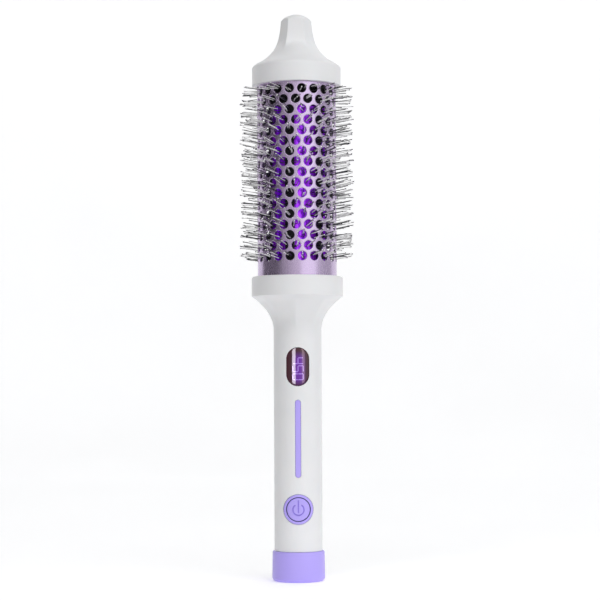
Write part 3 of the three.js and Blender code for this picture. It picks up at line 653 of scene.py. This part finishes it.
def rings_round(levels, radius_at, turn=0):
    """Rings of points from (height, inset) levels, their radius a function of angle and height."""
    rings = []
    for z, inset in levels:
        angles = [360 * i / SHELL_SIDES + turn for i in range(SHELL_SIDES)]
        rings.append([polar(radius_at(degrees, z) - inset, degrees, z) for degrees in angles])
    return rings


def shell_blank():
    """Both shells in one solid piece, before it is bored and split."""
    tenon = [(TENON_BOTTOM, 0), (CAP_HEIGHT + JOINT, 0)]
    rings = rings_round(tenon, lambda degrees, z: TENON_RADIUS)
    rings += rings_round(shell_levels(), shell_radius, NECK_TURN)
    points, faces = stack(rings)
    return new_object("shell_blank", points, faces, [SHELL], SHELL_SHARP)


def shell_bore():
    """Cutter for the inside of both shells."""
    profile = [
        (0, TENON_BOTTOM - OVERCUT),
        (TENON_RADIUS - TENON_WALL, TENON_BOTTOM - OVERCUT),
        (TENON_RADIUS - TENON_WALL, CAP_HEIGHT + 1),
        (HANDLE_BORE, CAP_HEIGHT + 2 * TENON_WALL),
        (HANDLE_BORE, NECK_BOTTOM + NECK_BORE_TAPER[0]),
        (NECK_BORE, NECK_BOTTOM + NECK_BORE_TAPER[1]),
        (NECK_BORE, COLLAR_FLOOR),
        (COLLAR_BORE, COLLAR_FLOOR),
        (COLLAR_BORE, COLLAR_LIP),
        (BARREL_RADIUS + SLIDE_FIT, COLLAR_LIP),
        (BARREL_RADIUS + SLIDE_FIT, COLLAR_TOP + OVERCUT),
        (0, COLLAR_TOP + OVERCUT),
    ]
    return turned("shell_bore", profile, [], SHELL_SIDES)


NECK_SCREW_X = 8.4
NECK_SCREW_Z = 133.5
NECK_SCREW_SEAT = 5.5
SCREW_SEAT_RADIUS = 2.3
SCREW_HEAD_RADIUS = 1.9
NECK_SCREW_BORE = 1.3


def circle(radius, sides=48):
    """Points of a circle about the origin."""
    angles = [2 * math.pi * i / sides for i in range(sides)]
    return [(radius * math.cos(angle), radius * math.sin(angle)) for angle in angles]


def cross_rod(radius, front, back, x, z):
    """A cutter rod along Y."""
    points, faces = stack([[(x + u, y, z + v) for u, v in circle(radius)] for y in (front, back)])
    return new_object("rod", points, faces, [])


def upright_rod(radius, low, high, x, y):
    """A cutter rod along Z."""
    points, faces = stack([[(x + u, y + v, z) for u, v in circle(radius)] for z in (low, high)])
    return new_object("rod", points, faces, [])


def white_shells():
    """The two halves of the handle, with openings in the front one and screw seats in the rear."""
    whole = cut(shell_blank(), shell_bore(), SHELL_SHARP)
    rear = linked(whole.copy())
    rear.data = whole.data.copy()
    behind = box_solid("half", (-40, SEAM, -10), (40, 60, 300))
    before = box_solid("half", (-40, -60, -10), (40, -SEAM, 300))
    front = cut(whole, behind, SHELL_SHARP)
    rear = cut(rear, before, SHELL_SHARP)
    ring = 2 * (RING_RADIUS + RING_FIT)
    for width, height, centre, edge in (
        (WINDOW_WIDTH + 2 * LENS_FIT, WINDOW_HEIGHT + 2 * LENS_FIT, WINDOW_Z, 0.2),
        (BAR_WIDTH + 2 * LENS_FIT, BAR_HEIGHT + 2 * LENS_FIT, BAR_Z, 0.15),
        (ring, ring + SPLIT, BUTTON_Z, 0.12),
    ):
        cut(front, wrapped_hole(width, height, centre, edge), SHELL_SHARP)
    for x in (-NECK_SCREW_X, NECK_SCREW_X):
        for radius, start in ((SCREW_SEAT_RADIUS, NECK_SCREW_SEAT), (NECK_SCREW_BORE, -5)):
            hole = cross_rod(radius, start, 30, x, NECK_SCREW_Z)
            cut(rear, hole, SHELL_SHARP)
    front.name = "handle_front"
    rear.name = "handle_rear"
    keep(front, ["front_shell"])
    keep(rear, ["rear_shell"])


def tip_radius(degrees, z):
    """Outer radius of the tip: rim, flare that draws in to a six-sided grip, and domed end."""
    flare = TIP_GRIP_RADIUS + TIP_FLARE_SWELL * math.exp(-TIP_FLARE_DECAY * (z - TIP_FLARE_CREST))
    weight = smoothstep(z, TIP_FACETS_START, TIP_FACETS_FULL)
    flat = soft_min(polygon_radius(degrees, TIP_FACETS, TIP_TURN), 0.997, 0.004)
    radius = flare * (1 - weight + weight * flat)
    below = max(TIP_TOP - z, 0)
    if below < TIP_DOME:
        radius = soft_min(radius, math.sqrt(2 * TIP_DOME * below - below * below), 0.14)
    return max(soft_min(radius, TIP_RIM_RADIUS, TIP_SHOULDER_REACH), TIP_APEX)


def tip_cap():
    """The white tip, hollowed to leave a seat for the barrel and a boss for its screw."""
    zs = [TIP_BOTTOM + 0.15] + list(np.linspace(TIP_BOTTOM + 1, 256, 5))
    zs += list(np.linspace(256.4, 262, 22))
    zs += list(np.linspace(262.4, TIP_TOP - 5, 60))
    zs += [TIP_TOP - 5 * (1 - i / 26) ** 1.7 for i in range(1, 27)]
    levels = [(TIP_BOTTOM, 0.15)] + [(z, 0) for z in zs]
    points, faces = stack(rings_round(levels, tip_radius, TIP_TURN))
    body = new_object("tip", points, faces, [SHELL], SHELL_SHARP)
    seat = BARREL_RADIUS + SLIDE_FIT
    cavity = turned("cavity", [
        (0, TIP_BOTTOM - OVERCUT),
        (seat, TIP_BOTTOM - OVERCUT),
        (seat, BARREL_TOP + TIP_GAP),
        (TIP_CAVITY, BARREL_TOP + TIP_GAP),
        (TIP_BOSS + 4, TIP_BOSS_TOP),
        (TIP_BOSS, TIP_BOSS_TOP),
        (TIP_BOSS, BARREL_TOP + OVERCUT),
        (0, BARREL_TOP + OVERCUT),
    ], [], 128)
    cut(body, cavity, SHELL_SHARP)
    pilot = upright_rod(TIP_PILOT, BARREL_TOP, TIP_PILOT_TOP, 0, 0)
    cut(body, pilot, SHELL_SHARP)
    keep(body, ["tip_cap"])


# ---- barrel ----

def hole_angle(row, column):
    return HOLE_TURN + 360 / HOLES_PER_ROW * (column + (row % 2) / 2)


def hole_height(row):
    return HOLE_FIRST + row * HOLE_PITCH


def cell_outline(steps=6):
    """The six-sided patch of barrel that belongs to one hole, in arc length and height."""
    pitch = 2 * math.pi * BARREL_RADIUS / HOLES_PER_ROW
    peak = (HOLE_PITCH ** 2 + pitch ** 2 / 4) / (2 * HOLE_PITCH)
    shoulder = (HOLE_PITCH ** 2 - pitch ** 2 / 4) / (2 * HOLE_PITCH)
    corners = [(pitch / 2, -shoulder), (pitch / 2, shoulder), (0, peak),
               (-pitch / 2, shoulder), (-pitch / 2, -shoulder), (0, -peak)]
    outline = []
    for i, (u, v) in enumerate(corners):
        next_u, next_v = corners[(i + 1) % 6]
        for step in range(steps):
            outline.append((u + (next_u - u) * step / steps, v + (next_v - v) * step / steps))
    return outline


def barrel_point(centre_degrees, centre_z, u, v, radius):
    return polar(radius, centre_degrees + math.degrees(u / BARREL_RADIUS), centre_z + v)


def barrel():
    """Perforated tube: each hole has its own patch with a soft edge, welded to its neighbours."""
    outline = cell_outline()
    inner_radius = BARREL_RADIUS - BARREL_WALL
    bevel = HOLE_EDGE * 0.3
    # Each band: how far it lies towards the patch's outline, growth of the hole, tube radius.
    bands = [(1.0, 0, BARREL_RADIUS), (0.4, HOLE_EDGE, BARREL_RADIUS),
             (0, HOLE_EDGE, BARREL_RADIUS), (0, bevel, BARREL_RADIUS - bevel),
             (0, 0, BARREL_RADIUS - HOLE_EDGE), (0, 0, inner_radius), (1.0, 0, inner_radius)]
    sides = len(outline)
    points, faces = [], []
    for row in range(HOLE_ROWS):
        for column in range(HOLES_PER_ROW):
            start = len(points)
            angle, z = hole_angle(row, column), hole_height(row)
            for reach, growth, radius in bands:
                for u, v in outline:
                    length = math.hypot(u, v)
                    scale = reach + (1 - reach) * (HOLE_RADIUS + growth) / length
                    points.append(barrel_point(angle, z, u * scale, v * scale, radius))
            faces.extend(grid_faces(len(bands), sides, False, start))
    for row, rim in ((0, BARREL_BOTTOM), (HOLE_ROWS - 1, BARREL_TOP)):
        barrel_margin(points, faces, outline, row, rim, inner_radius)
    shell = new_object("perforated_barrel", points, faces, [BARREL_COAT], 50)
    keep(shell, ["barrel"])


def barrel_margin(points, faces, outline, row, rim, inner_radius):
    """The plain band between an end row's patches and the end of the tube, inside and out."""
    upper = row > 0
    third = len(outline) // 6
    run = outline[third:3 * third + 1] if upper else outline[4 * third:] + outline[:1]
    for column in range(HOLES_PER_ROW):
        angle, z = hole_angle(row, column), hole_height(row)
        start = len(points)
        for radius in (BARREL_RADIUS, inner_radius):
            for part in (0, 0.3, 0.65, 1):
                order = part if radius == BARREL_RADIUS else 1 - part
                for u, v in run:
                    height = v + (rim - z - v) * order
                    points.append(barrel_point(angle, z, u, height, radius))
        count = len(run)
        for level in range(7):
            low = start + level * count
            for i in range(count - 1):
                faces.append((low + i, low + i + 1, low + count + i + 1, low + count + i))


# ---- bristles ----

FILAMENTS_PER_HOLE = 3
FILAMENT_RADIUS = 0.2
BALL_RADIUS = 0.32
BRISTLE_ROOT = 13.7
# In this many rows next to the tip the bristles rise less.
TOP_ROWS = 3
FILAMENT_SIDES = 6


def strip_angle(index):
    return STRIP_TURN + index * 360 / STRIPS


def filament_path(rng, strip_centre, angle, z, tuft_lean, tuft_rise):
    """One crimped filament from its rail, through its hole and out to the brush's reach."""
    offset = (angle - strip_centre + 180) % 360 - 180
    root_angle = strip_centre + offset / 3 + rng.uniform(-1, 1)
    root = Vector(polar(BRISTLE_ROOT, root_angle, z + rng.uniform(-0.5, 0.5)))
    inside = HOLE_RADIUS - 0.65
    u, v = rng.uniform(-inside, inside), rng.uniform(-inside, inside)
    if math.hypot(u, v) > inside:
        u, v = u * 0.7, v * 0.7
    gate = Vector(barrel_point(angle, z, u, v, BARREL_RADIUS - BARREL_WALL / 2))
    out = Vector(polar(1, angle, 0))
    side = Vector((-out.y, out.x, 0))
    lean = math.tan(math.radians(max(-36, min(36, rng.gauss(tuft_lean, 2.5)))))
    rise = math.tan(math.radians(max(-6, min(22, rng.gauss(tuft_rise, 2)))))
    heading = (out + side * lean + Vector((0, 0, rise))).normalized()
    reach = BRISTLE_REACH - BALL_RADIUS - 0.1 - rng.random() ** 2 * 2.2
    flat = Vector((heading.x, heading.y, 0))
    along = gate.xy.dot(flat.xy)
    square = flat.xy.length_squared
    room = reach ** 2 - gate.xy.length_squared
    length = (math.sqrt(along * along + square * room) - along) / square
    tip = gate + heading * length
    curl = side * rng.uniform(-0.12, 0.12) + Vector((0, 0, rng.uniform(-0.12, 0.12)))
    phase, waves, sway = rng.uniform(0, 6.28), rng.uniform(1.2, 2.2), rng.uniform(0.0, 0.03)
    path = [root, root.lerp(gate, 0.5)]
    for step in range(9):
        t = step / 8
        point = gate.lerp(tip, t) + curl * 4 * t * (1 - t)
        crimp = math.sin(phase + waves * 2 * math.pi * t) - math.sin(phase)
        path.append(point + (side * 0.6 + Vector((0, 0, 0.8))) * sway * crimp * t)
    return path


def add_filament(path, points, faces, tones, tone, ball_tone):
    """A thin tube along the path with a small ball on its end; the part inside the barrel gets the
    dark nylon as painted shade.
    """
    stations = [(point, FILAMENT_RADIUS) for point in path]
    heading = (path[-1] - path[-2]).normalized()
    for turn in (-50, -15, 20, 50, 78):
        angle = math.radians(turn)
        at = path[-1] + heading * (BALL_RADIUS * (math.sin(angle) + 0.6))
        stations.append((at, BALL_RADIUS * math.cos(angle)))
    start = len(points)
    count = len(stations)
    for i, (centre, radius) in enumerate(stations):
        before = stations[max(i - 1, 0)][0]
        after = stations[min(i + 1, count - 1)][0]
        forward = (after - before).normalized()
        if i == 0:
            first = forward.orthogonal().normalized()
        else:
            first = (first - forward * first.dot(forward)).normalized()
        second = forward.cross(first)
        for k in range(FILAMENT_SIDES):
            angle = 2 * math.pi * k / FILAMENT_SIDES
            points.append(centre + (first * math.cos(angle) + second * math.sin(angle)) * radius)
    body = grid_faces(count, FILAMENT_SIDES, False, start)
    faces.extend(body)
    # The first two segments, inside the barrel, take the dark nylon: painted shade for the barrel's
    # dark inside.
    painted_shade_root_faces = 2 * FILAMENT_SIDES
    shaft = (len(path) - 1) * FILAMENT_SIDES
    tones.extend([1] * painted_shade_root_faces + [tone] * (shaft - painted_shade_root_faces) + [ball_tone] * (len(body) - shaft))
    faces.append(tuple(reversed(range(start, start + FILAMENT_SIDES))))
    faces.append(tuple(range(len(points) - FILAMENT_SIDES, len(points))))
    tones.extend([tone, ball_tone])


def bristle_strip(index):
    """All the bristles that one strip sends through the holes nearest to it."""
    rng = random.Random(100 + index)
    centre = strip_angle(index)
    points, faces, tones = [], [], []
    for row in range(HOLE_ROWS):
        for column in range(HOLES_PER_ROW):
            angle = hole_angle(row, column)
            offset = (angle - centre + 180) % 360 - 180
            if abs(offset) >= 180 / STRIPS:
                continue
            near_tip = row >= HOLE_ROWS - TOP_ROWS
            tuft_lean = rng.gauss(offset * 0.6, 4)
            tuft_rise = rng.gauss(2 if near_tip else 9, 2.5)
            for _ in range(FILAMENTS_PER_HOLE):
                tone = 0 if rng.random() < 0.66 else 1
                path = filament_path(rng, centre, angle, hole_height(row), tuft_lean, tuft_rise)
                add_filament(path, points, faces, tones, tone, int(rng.random() < 0.3))
    tuft = mesh_object(f"bristles_{index + 1:02d}", points, faces)
    tuft.data.polygons.foreach_set("material_index", tones)
    tuft.data.materials.append(NYLON_PALE)
    tuft.data.materials.append(NYLON_DARK)
    tuft.data.shade_smooth()
    return keep(tuft, [f"bristle_strip_{index + 1:02d}"])


def carrier(index):
    """The rail that holds one strip's bristles; five are black and five match the violet core.
    Above the core's top every rail is black, painted shade for the dark inside under the tip.
    """
    centre = strip_angle(index)
    dark = index % 2 == 0
    half = BLACK_RAIL_SPREAD if dark else VIOLET_RAIL_SPREAD
    steps = 8
    spread = [-half + 2 * half * i / steps for i in range(steps + 1)]
    rings = []
    for z in (STRIP_LOW, STRIP_LOW + RAIL_EDGE, core_high.z, core_high.z + 0.1,
              STRIP_HIGH - RAIL_EDGE, STRIP_HIGH):
        outer = RAIL_OUTER - (RAIL_EDGE if z in (STRIP_LOW, STRIP_HIGH) else 0)
        rings.append([polar(outer, centre + degrees, z) for degrees in spread]
                     + [polar(RAIL_INNER, centre + degrees, z) for degrees in reversed(spread)])
    points, faces = stack(rings)
    materials = [BLACK if dark else VIOLET, BLACK]
    rail = new_object(f"bristle_rail_{index + 1:02d}", points, faces, materials)
    # Faces above the core's top take black: painted shade where the inside of the barrel is dark.
    for face in rail.data.polygons:
        face.material_index = int(face.center.z > core_high.z * MM)
    return keep(rail)


def heat_core():
    """The violet tube that shows through the barrel's holes."""
    inside = CORE_RADIUS - CORE_WALL
    profile = rounded([
        (inside, core_low.z, 0),
        (CORE_RADIUS, core_low.z, 0.3),
        (CORE_RADIUS, core_high.z, 0.3),
        (inside, core_high.z, 0.3),
        (inside, core_low.z, 0),
    ])
    return keep(turned("violet_core", profile, [VIOLET], 160), ["heat_core"])


# ---- front controls ----

def display():
    """The smoked window and the lit digits on it."""
    face = HANDLE_RADIUS - WINDOW_SINK
    levels = [(0, WINDOW_INSIDE)] + lip(0, face, 0.3)
    window = wrapped_plug("display_glass", WINDOW_WIDTH, WINDOW_HEIGHT, WINDOW_Z, levels, [SMOKED])
    keep(window, ["display_window"])
    return [window] + digits(face)


SEGMENTS = {"4": "fgbc", "5": "afgcd", "0": "abcdef"}
DIGIT_HEIGHT = 5.2
DIGIT_WIDTH = 2.9
DIGIT_PITCH = 4.0
DIGIT_STROKE = 0.42
FIRST_DIGIT = 3.0
DIGIT_SHIFT = 0.15
# Space left between the bars where two meet.
DIGIT_SPACE = 0.1


def digits(face):
    """Three seven-segment digits that read from top to bottom, their tops to the right."""
    top, side = DIGIT_HEIGHT / 2, DIGIT_WIDTH / 2
    bars = {"a": (0, top, True), "g": (0, 0, True), "d": (0, -top, True),
            "b": (side, top / 2, False), "c": (side, -top / 2, False),
            "f": (-side, top / 2, False), "e": (-side, -top / 2, False)}
    made = []
    for place, digit in enumerate("450"):
        middle = FIRST_DIGIT - place * DIGIT_PITCH
        for segment in SEGMENTS[digit]:
            across, up, flat = bars[segment]
            length = (DIGIT_WIDTH if flat else top) - DIGIT_SPACE
            name = f"digit_{place}_{segment}"
            bar = seven_bar(name, DIGIT_SHIFT + up, WINDOW_Z + middle - across, length, flat, face)
            made.append(keep(bar))
    return made


def seven_bar(name, u, v, length, vertical, face):
    """One lit bar with pointed ends, laid on the curved window."""
    half, tip, steps = length / 2, DIGIT_STROKE / 2, 8
    run = length - DIGIT_STROKE
    stations = [(-half + tip + run * i / steps, tip) for i in range(steps + 1)]
    under, over = face - 0.1, face + 0.025
    rings = []
    for along, width in [(-half, 0.02)] + stations + [(half, 0.02)]:
        ring = []
        for across, radius in ((-width, under), (width, under), (width, over), (-width, over)):
            right, up = (across, along) if vertical else (along, across)
            ring.append(wrap(u + right, v + up, radius))
        rings.append(ring)
    points, faces = stack(rings)
    return new_object(name, points, faces, [DIGIT])


def light_bar():
    levels = [(0, BAR_INSIDE)] + lip(0, HANDLE_RADIUS - BAR_SINK, 0.25)
    bar = wrapped_plug("light_bar_lens", BAR_WIDTH, BAR_HEIGHT, BAR_Z, levels, [LAVENDER])
    keep(bar, ["light_bar"])


def symbol_cutter(path, width, face):
    """Groove cutter along a path of (u, v) points with round ends."""
    outline = []
    count = len(path)
    for direction in (1, -1):
        run = path if direction == 1 else path[::-1]
        for i, (u, v) in enumerate(run):
            before = run[max(i - 1, 0)]
            after = run[min(i + 1, count - 1)]
            heading = Vector((after[0] - before[0], after[1] - before[1])).normalized()
            normal = Vector((heading.y, -heading.x))
            outline.append((u + normal.x * width / 2, v + normal.y * width / 2))
            if i == count - 1:
                for step in range(1, 6):
                    angle = math.pi * step / 6
                    bend = normal * math.cos(angle) + heading * math.sin(angle)
                    outline.append((u + bend.x * width / 2, v + bend.y * width / 2))
    ends = (face - SYMBOL_DEPTH, face + 1.5)
    rings = [[wrap(u, v, radius) for u, v in outline] for radius in ends]
    points, faces = stack(rings)
    return new_object("groove", points, faces, [])


SYMBOL_RADIUS = 2.75
SYMBOL_GROOVE = 0.65
SYMBOL_DEPTH = 0.5
# Angle left open at the top of the symbol's circle, in degrees.
SYMBOL_OPENING = 78


def shade_grooves(cap, depth):
    """Gives the faces of the symbol's grooves, which lie within a radius, a darker lavender:
    painted shade in the grooves.
    """
    cap.data.materials.append(LAVENDER_GROOVE_SHADE)
    for face in cap.data.polygons:
        x, y, z = (part / MM for part in face.center)
        near = math.hypot(x, z - BUTTON_Z) < BUTTON_RADIUS - 1 and y < -0.9 * HANDLE_BORE
        face.material_index = int(near and math.hypot(x, y) < depth)


def power_button():
    """The fixed ring and the moving cap, with a plain power symbol: an open circle and a line."""
    ring = wrapped_ring("button_bezel", RING_RADIUS, RING_BORE, BUTTON_Z,
                        RING_INSIDE, HANDLE_RADIUS + RING_RISE, 0.35, [LAVENDER])
    keep(ring, ["button_ring"])
    face = HANDLE_RADIUS + BUTTON_RISE
    levels = [(0, BUTTON_INSIDE)] + lip(0, face, 0.3)
    across = 2 * BUTTON_RADIUS
    cap = wrapped_plug("button_cap", across, across + SPLIT, BUTTON_Z, levels, [LAVENDER],
                       arc_steps=48)
    circle_z = BUTTON_Z - 0.1
    arc = []
    for i in range(41):
        angle = math.radians(90 + SYMBOL_OPENING / 2 + (360 - SYMBOL_OPENING) * i / 40)
        arc.append((SYMBOL_RADIUS * math.cos(angle), circle_z + SYMBOL_RADIUS * math.sin(angle)))
    line = [(0, BUTTON_Z - 1.3 + 5.6 * i / 8) for i in range(9)]
    for path in (arc, line):
        cut(cap, symbol_cutter(path, SYMBOL_GROOVE, face))
    shade_grooves(cap, face - 0.15)
    keep(cap, ["power_button"], "button")


# ---- end cap and screws ----

CAP_SCREW_X = 7.8
CAP_SCREW_Y = -1.0
CAP_SCREW_SEAT = 2.9
CAP_SCREW_BORE = 1.2
CAP_EDGE = 1.2
INLET_WIDTH = 3.8
INLET_LENGTH = 9.5


def end_cap():
    """The cup at the base, open upwards, with the charging inlet and two sunk screw holes."""
    profile = rounded([
        (0, 0, 0),
        (CAP_BASE_RADIUS - CAP_EDGE, 0, 0.9),
        (CAP_BASE_RADIUS, CAP_EDGE, 1.2),
        (CAP_RIM_RADIUS, CAP_HEIGHT, 0.7),
        (CAP_BORE, CAP_HEIGHT, 0.1),
        (CAP_BORE, CAP_FLOOR, 0),
        (0, CAP_FLOOR, 0),
    ])
    cap = turned("end_cap_cup", profile, [LAVENDER], 160)
    below, above = -OVERCUT, CAP_FLOOR + OVERCUT
    cutters = [stadium_prism(INLET_WIDTH, INLET_LENGTH, below, above)]
    for x in (-CAP_SCREW_X, CAP_SCREW_X):
        cutters.append(upright_rod(SCREW_SEAT_RADIUS, below, CAP_SCREW_SEAT, x, CAP_SCREW_Y))
        cutters.append(upright_rod(CAP_SCREW_BORE, below, above, x, CAP_SCREW_Y))
    for cutter in cutters:
        cut(cap, cutter)
    keep(cap, ["end_cap"])


def stadium_prism(width, length, low, high, materials=()):
    """A stadium outline standing on Z, its long side along X."""
    rings = [[(v, -u, z) for u, v in stadium(width, length)] for z in (low, high)]
    points, faces = stack(rings)
    return new_object("prism", points, faces, materials)


def charge_socket():
    """Metal shell of the charging inlet with its contact tongue."""
    low, high = span("charge_socket")
    width, length = high.y - low.y, high.x - low.x
    shell = stadium_prism(width, length, low.z, high.z, [STEEL])
    shell.name = "charge_inlet"
    inside = stadium_prism(width - 0.6, length - 0.6, low.z - 1, high.z - 1)
    cut(shell, inside)
    keep(shell, ["charge_socket"])
    corners = (-3.3, -0.35, low.z + 0.8), (3.3, 0.35, high.z - 0.9)
    keep(box_solid("charge_tongue", *corners, [BLACK]))


SHANK_RADIUS = 0.9


def screw(name, node, seat, axis):
    """A domed screw head with a cross recess and a plain shank; axis points from head to tip."""
    low, high = span(node)
    middle = (low + high) / 2
    radius = SCREW_HEAD_RADIUS
    length = {"y": high.y - low.y, "z": high.z - low.z}[axis]
    profile = rounded([
        (0, 0, 0), (radius * 0.75, 0.05, 0.2), (radius, 0.55, 0.3), (radius, seat, 0),
        (SHANK_RADIUS, seat, 0.1), (SHANK_RADIUS, length - 0.6, 0), (0.3, length, 0),
        (0, length, 0),
    ])
    head = turned(name, profile, [STEEL], 48)
    for turn in (0, 90):
        slot = box_solid("slot", (-radius * 0.62, -0.22, -1), (radius * 0.62, 0.22, 0.5))
        slot.data.transform(Matrix.Rotation(math.radians(turn + 25), 4, "Z"))
        cut(head, slot)
    if axis == "z":
        placed = Matrix.Translation(Vector((middle.x, middle.y, low.z)) * MM)
    else:
        placed = Matrix.Translation(Vector((middle.x, high.y, middle.z)) * MM)
        placed = placed @ Matrix.Rotation(math.pi / 2, 4, "X")
    head.data.transform(placed)
    keep(head, [node])


# ---- set ----

def area_light(name, azimuth, height, distance, width, tall, power, colour=(1, 1, 1)):
    """A soft box that faces the middle of the brush; azimuth 0 is in front, 90 to the right."""
    light = bpy.data.lights.new(name, "AREA")
    light.shape = "RECTANGLE"
    light.size, light.size_y = width, tall
    light.energy = power
    light.color = colour
    lamp = bpy.data.objects.new(name, light)
    angle = math.radians(azimuth)
    lamp.location = (distance * math.sin(angle), -distance * math.cos(angle), height)
    aim = Vector((0, 0, 0.15)) - lamp.location
    lamp.rotation_euler = aim.to_track_quat("-Z", "Y").to_euler()
    return linked(lamp)


def stage_material():
    """White paper that falls off to a soft grey in front of the brush."""
    material, tree, shader = shader_tree("stage_paper")
    cloud = ranged(tree, noise(tree, 300, 2), 0, 1)
    paper = blended(tree, cloud, (0.93, 0.93, 0.935), (0.90, 0.90, 0.905))
    front = ranged(tree, components(tree, "Object")[1], 0, 1, -0.55, -0.12)
    tone = blended(tree, front, (0.42, 0.42, 0.425), paper)
    fill(tree, shader, {"Base Color": tone, "Emission Color": tone, "Emission Strength": 0.33,
                        "Roughness": 0.9})
    return material


def sweep_floor():
    """Pale paper that runs under the brush and curves up behind it."""
    floor_z, bend_y, bend = -0.0001, 1.0, 0.6
    run = [(-3.0, floor_z), (bend_y, floor_z)]
    for angle in np.linspace(0.1, math.pi / 2, 12):
        run.append((bend_y + bend * math.sin(angle), floor_z + bend * (1 - math.cos(angle))))
    run.append((bend_y + bend, 3.0))
    points = [(x, y, z) for y, z in run for x in (-3.0, 3.0)]
    faces = [(2 * i, 2 * i + 1, 2 * i + 3, 2 * i + 2) for i in range(len(run) - 1)]
    paper = mesh_object("paper_sweep", points, faces, 1)
    paper.data.shade_smooth()
    paper.data.materials.append(stage_material())


# Light round the studio: azimuth in degrees (0 in front, positive to the right), level, and warmth.
STUDIO_LEVELS = (
    (-180, 0.48, 0.01), (-158, 0.28, 0.03), (-125, 0.05, 0.03), (-60, 0.02, 0), (-34, 0.42, 0),
    (-5, 0.78, 0), (30, 0.86, -0.01), (58, 0.78, -0.015), (84, 0.54, -0.015), (106, 0.46, -0.01),
    (180, 0.48, 0.01),
)


def studio_world():
    """Soft surround: white to the camera, bright on the right front and dark on the left."""
    world = bpy.data.worlds.new("studio")
    world.use_nodes = True
    tree = world.node_tree
    background = tree.nodes["Background"]
    x, y, _ = components(tree, "Generated")
    azimuth = computed(tree, "ARCTAN2", x, computed(tree, "MULTIPLY", y, -1))
    place = ranged(tree, azimuth, 0, 1, -math.pi, math.pi)
    ramp = tree.nodes.new("ShaderNodeValToRGB")
    ramp.color_ramp.interpolation = "EASE"
    stops = ramp.color_ramp.elements
    for i, (degrees, level, warmth) in enumerate(STUDIO_LEVELS):
        at = (degrees + 180) / 360
        if i < 2:
            stops[i].position = at
        stop = stops[i] if i < 2 else stops.new(at)
        stop.color = (level * (1 + warmth), level, level * (1 - warmth), 1)
    fill(tree, ramp, {"Fac": place})
    seen = tree.nodes.new("ShaderNodeLightPath").outputs["Is Camera Ray"]
    colour = blended(tree, seen, ramp.outputs["Color"], (1.0, 1.0, 1.0))
    fill(tree, background, {"Color": colour, "Strength": 1.0})
    bpy.context.scene.world = world


def studio():
    """The surround, three lamps and the paper under the brush."""
    studio_world()
    area_light("key", 34, 0.5, 1.2, 1.1, 1.0, 1.9, (0.98, 1.0, 1.01))
    area_light("high_left", -16, 1.15, 0.8, 0.6, 0.6, 3.2)
    area_light("high_right", 24, 1.2, 0.8, 0.6, 0.6, 1.9)
    sweep_floor()


def lights_only(name, things):
    """A group of pieces for a lamp that lights nothing else."""
    group = bpy.data.collections.new(name)
    for thing in things:
        group.objects.link(thing)
    return group


def window_glints(things):
    """Two upright strips whose reflections are seen in the display window only."""
    seen_in = lights_only("window_glints", things)
    for name, azimuth, width, power, colour in (
        ("glint_left", -19, 0.36, 34.0, (0.96, 0.88, 1.0)),
        ("glint_right", 27, 0.30, 7.5, (1.0, 0.72, 0.80)),
    ):
        lamp = area_light(name, azimuth, 0.12, 1.3, width, 1.4, power, colour)
        lamp.light_linking.receiver_collection = seen_in


def head_lights(bristles, core):
    """One lamp that lights the bristles only, and one that lights the core and its rails only."""
    rim = area_light("bristle_rim", -42, 0.35, 1.0, 0.25, 0.5, 2.6)
    rim.light_linking.receiver_collection = lights_only("bristle_rim", bristles)
    inside = area_light("core_light", 14, 0.22, 0.9, 0.5, 0.5, 2.2, (0.95, 0.9, 1.0))
    inside.light_linking.receiver_collection = lights_only("core_light", core)


def camera():
    """A long lens in front of the brush, a little below its middle and tilted up."""
    focal_px, frame_px, sensor = 1843.5, 600.0, 36.0
    lens = bpy.data.cameras.new("camera")
    lens.sensor_width = sensor
    lens.lens = sensor * focal_px / frame_px
    lens.clip_start, lens.clip_end = 0.05, 20
    eye = linked(bpy.data.objects.new("camera", lens))
    tilt = Matrix.Rotation(math.radians(90 + 2.51), 4, "X")
    roll = Matrix.Rotation(math.radians(-0.28), 4, "Z")
    eye.matrix_world = Matrix.Translation((0.0013, -0.930, 0.100)) @ (tilt @ roll)
    bpy.context.scene.camera = eye


bpy.context.scene.view_settings.view_transform = "Standard"
camera()
studio()
finish_cad_nodes()
white_shells()
tip_cap()
barrel()
core = heat_core()
bristles = [bristle_strip(strip) for strip in range(STRIPS)]
rails = [carrier(strip) for strip in range(STRIPS)]
head_lights(bristles, [core] + rails)
window_glints(display())
light_bar()
power_button()
end_cap()
charge_socket()
for side, number in (("left", 1), ("right", 2)):
    screw(f"neck_screw_{number}", f"neck_screw_{side}", 1.4, "y")
for side, number in (("left", 1), ("right", 2)):
    screw(f"cap_screw_{number}", f"end_cap_screw_{side}", 1.3, "z")
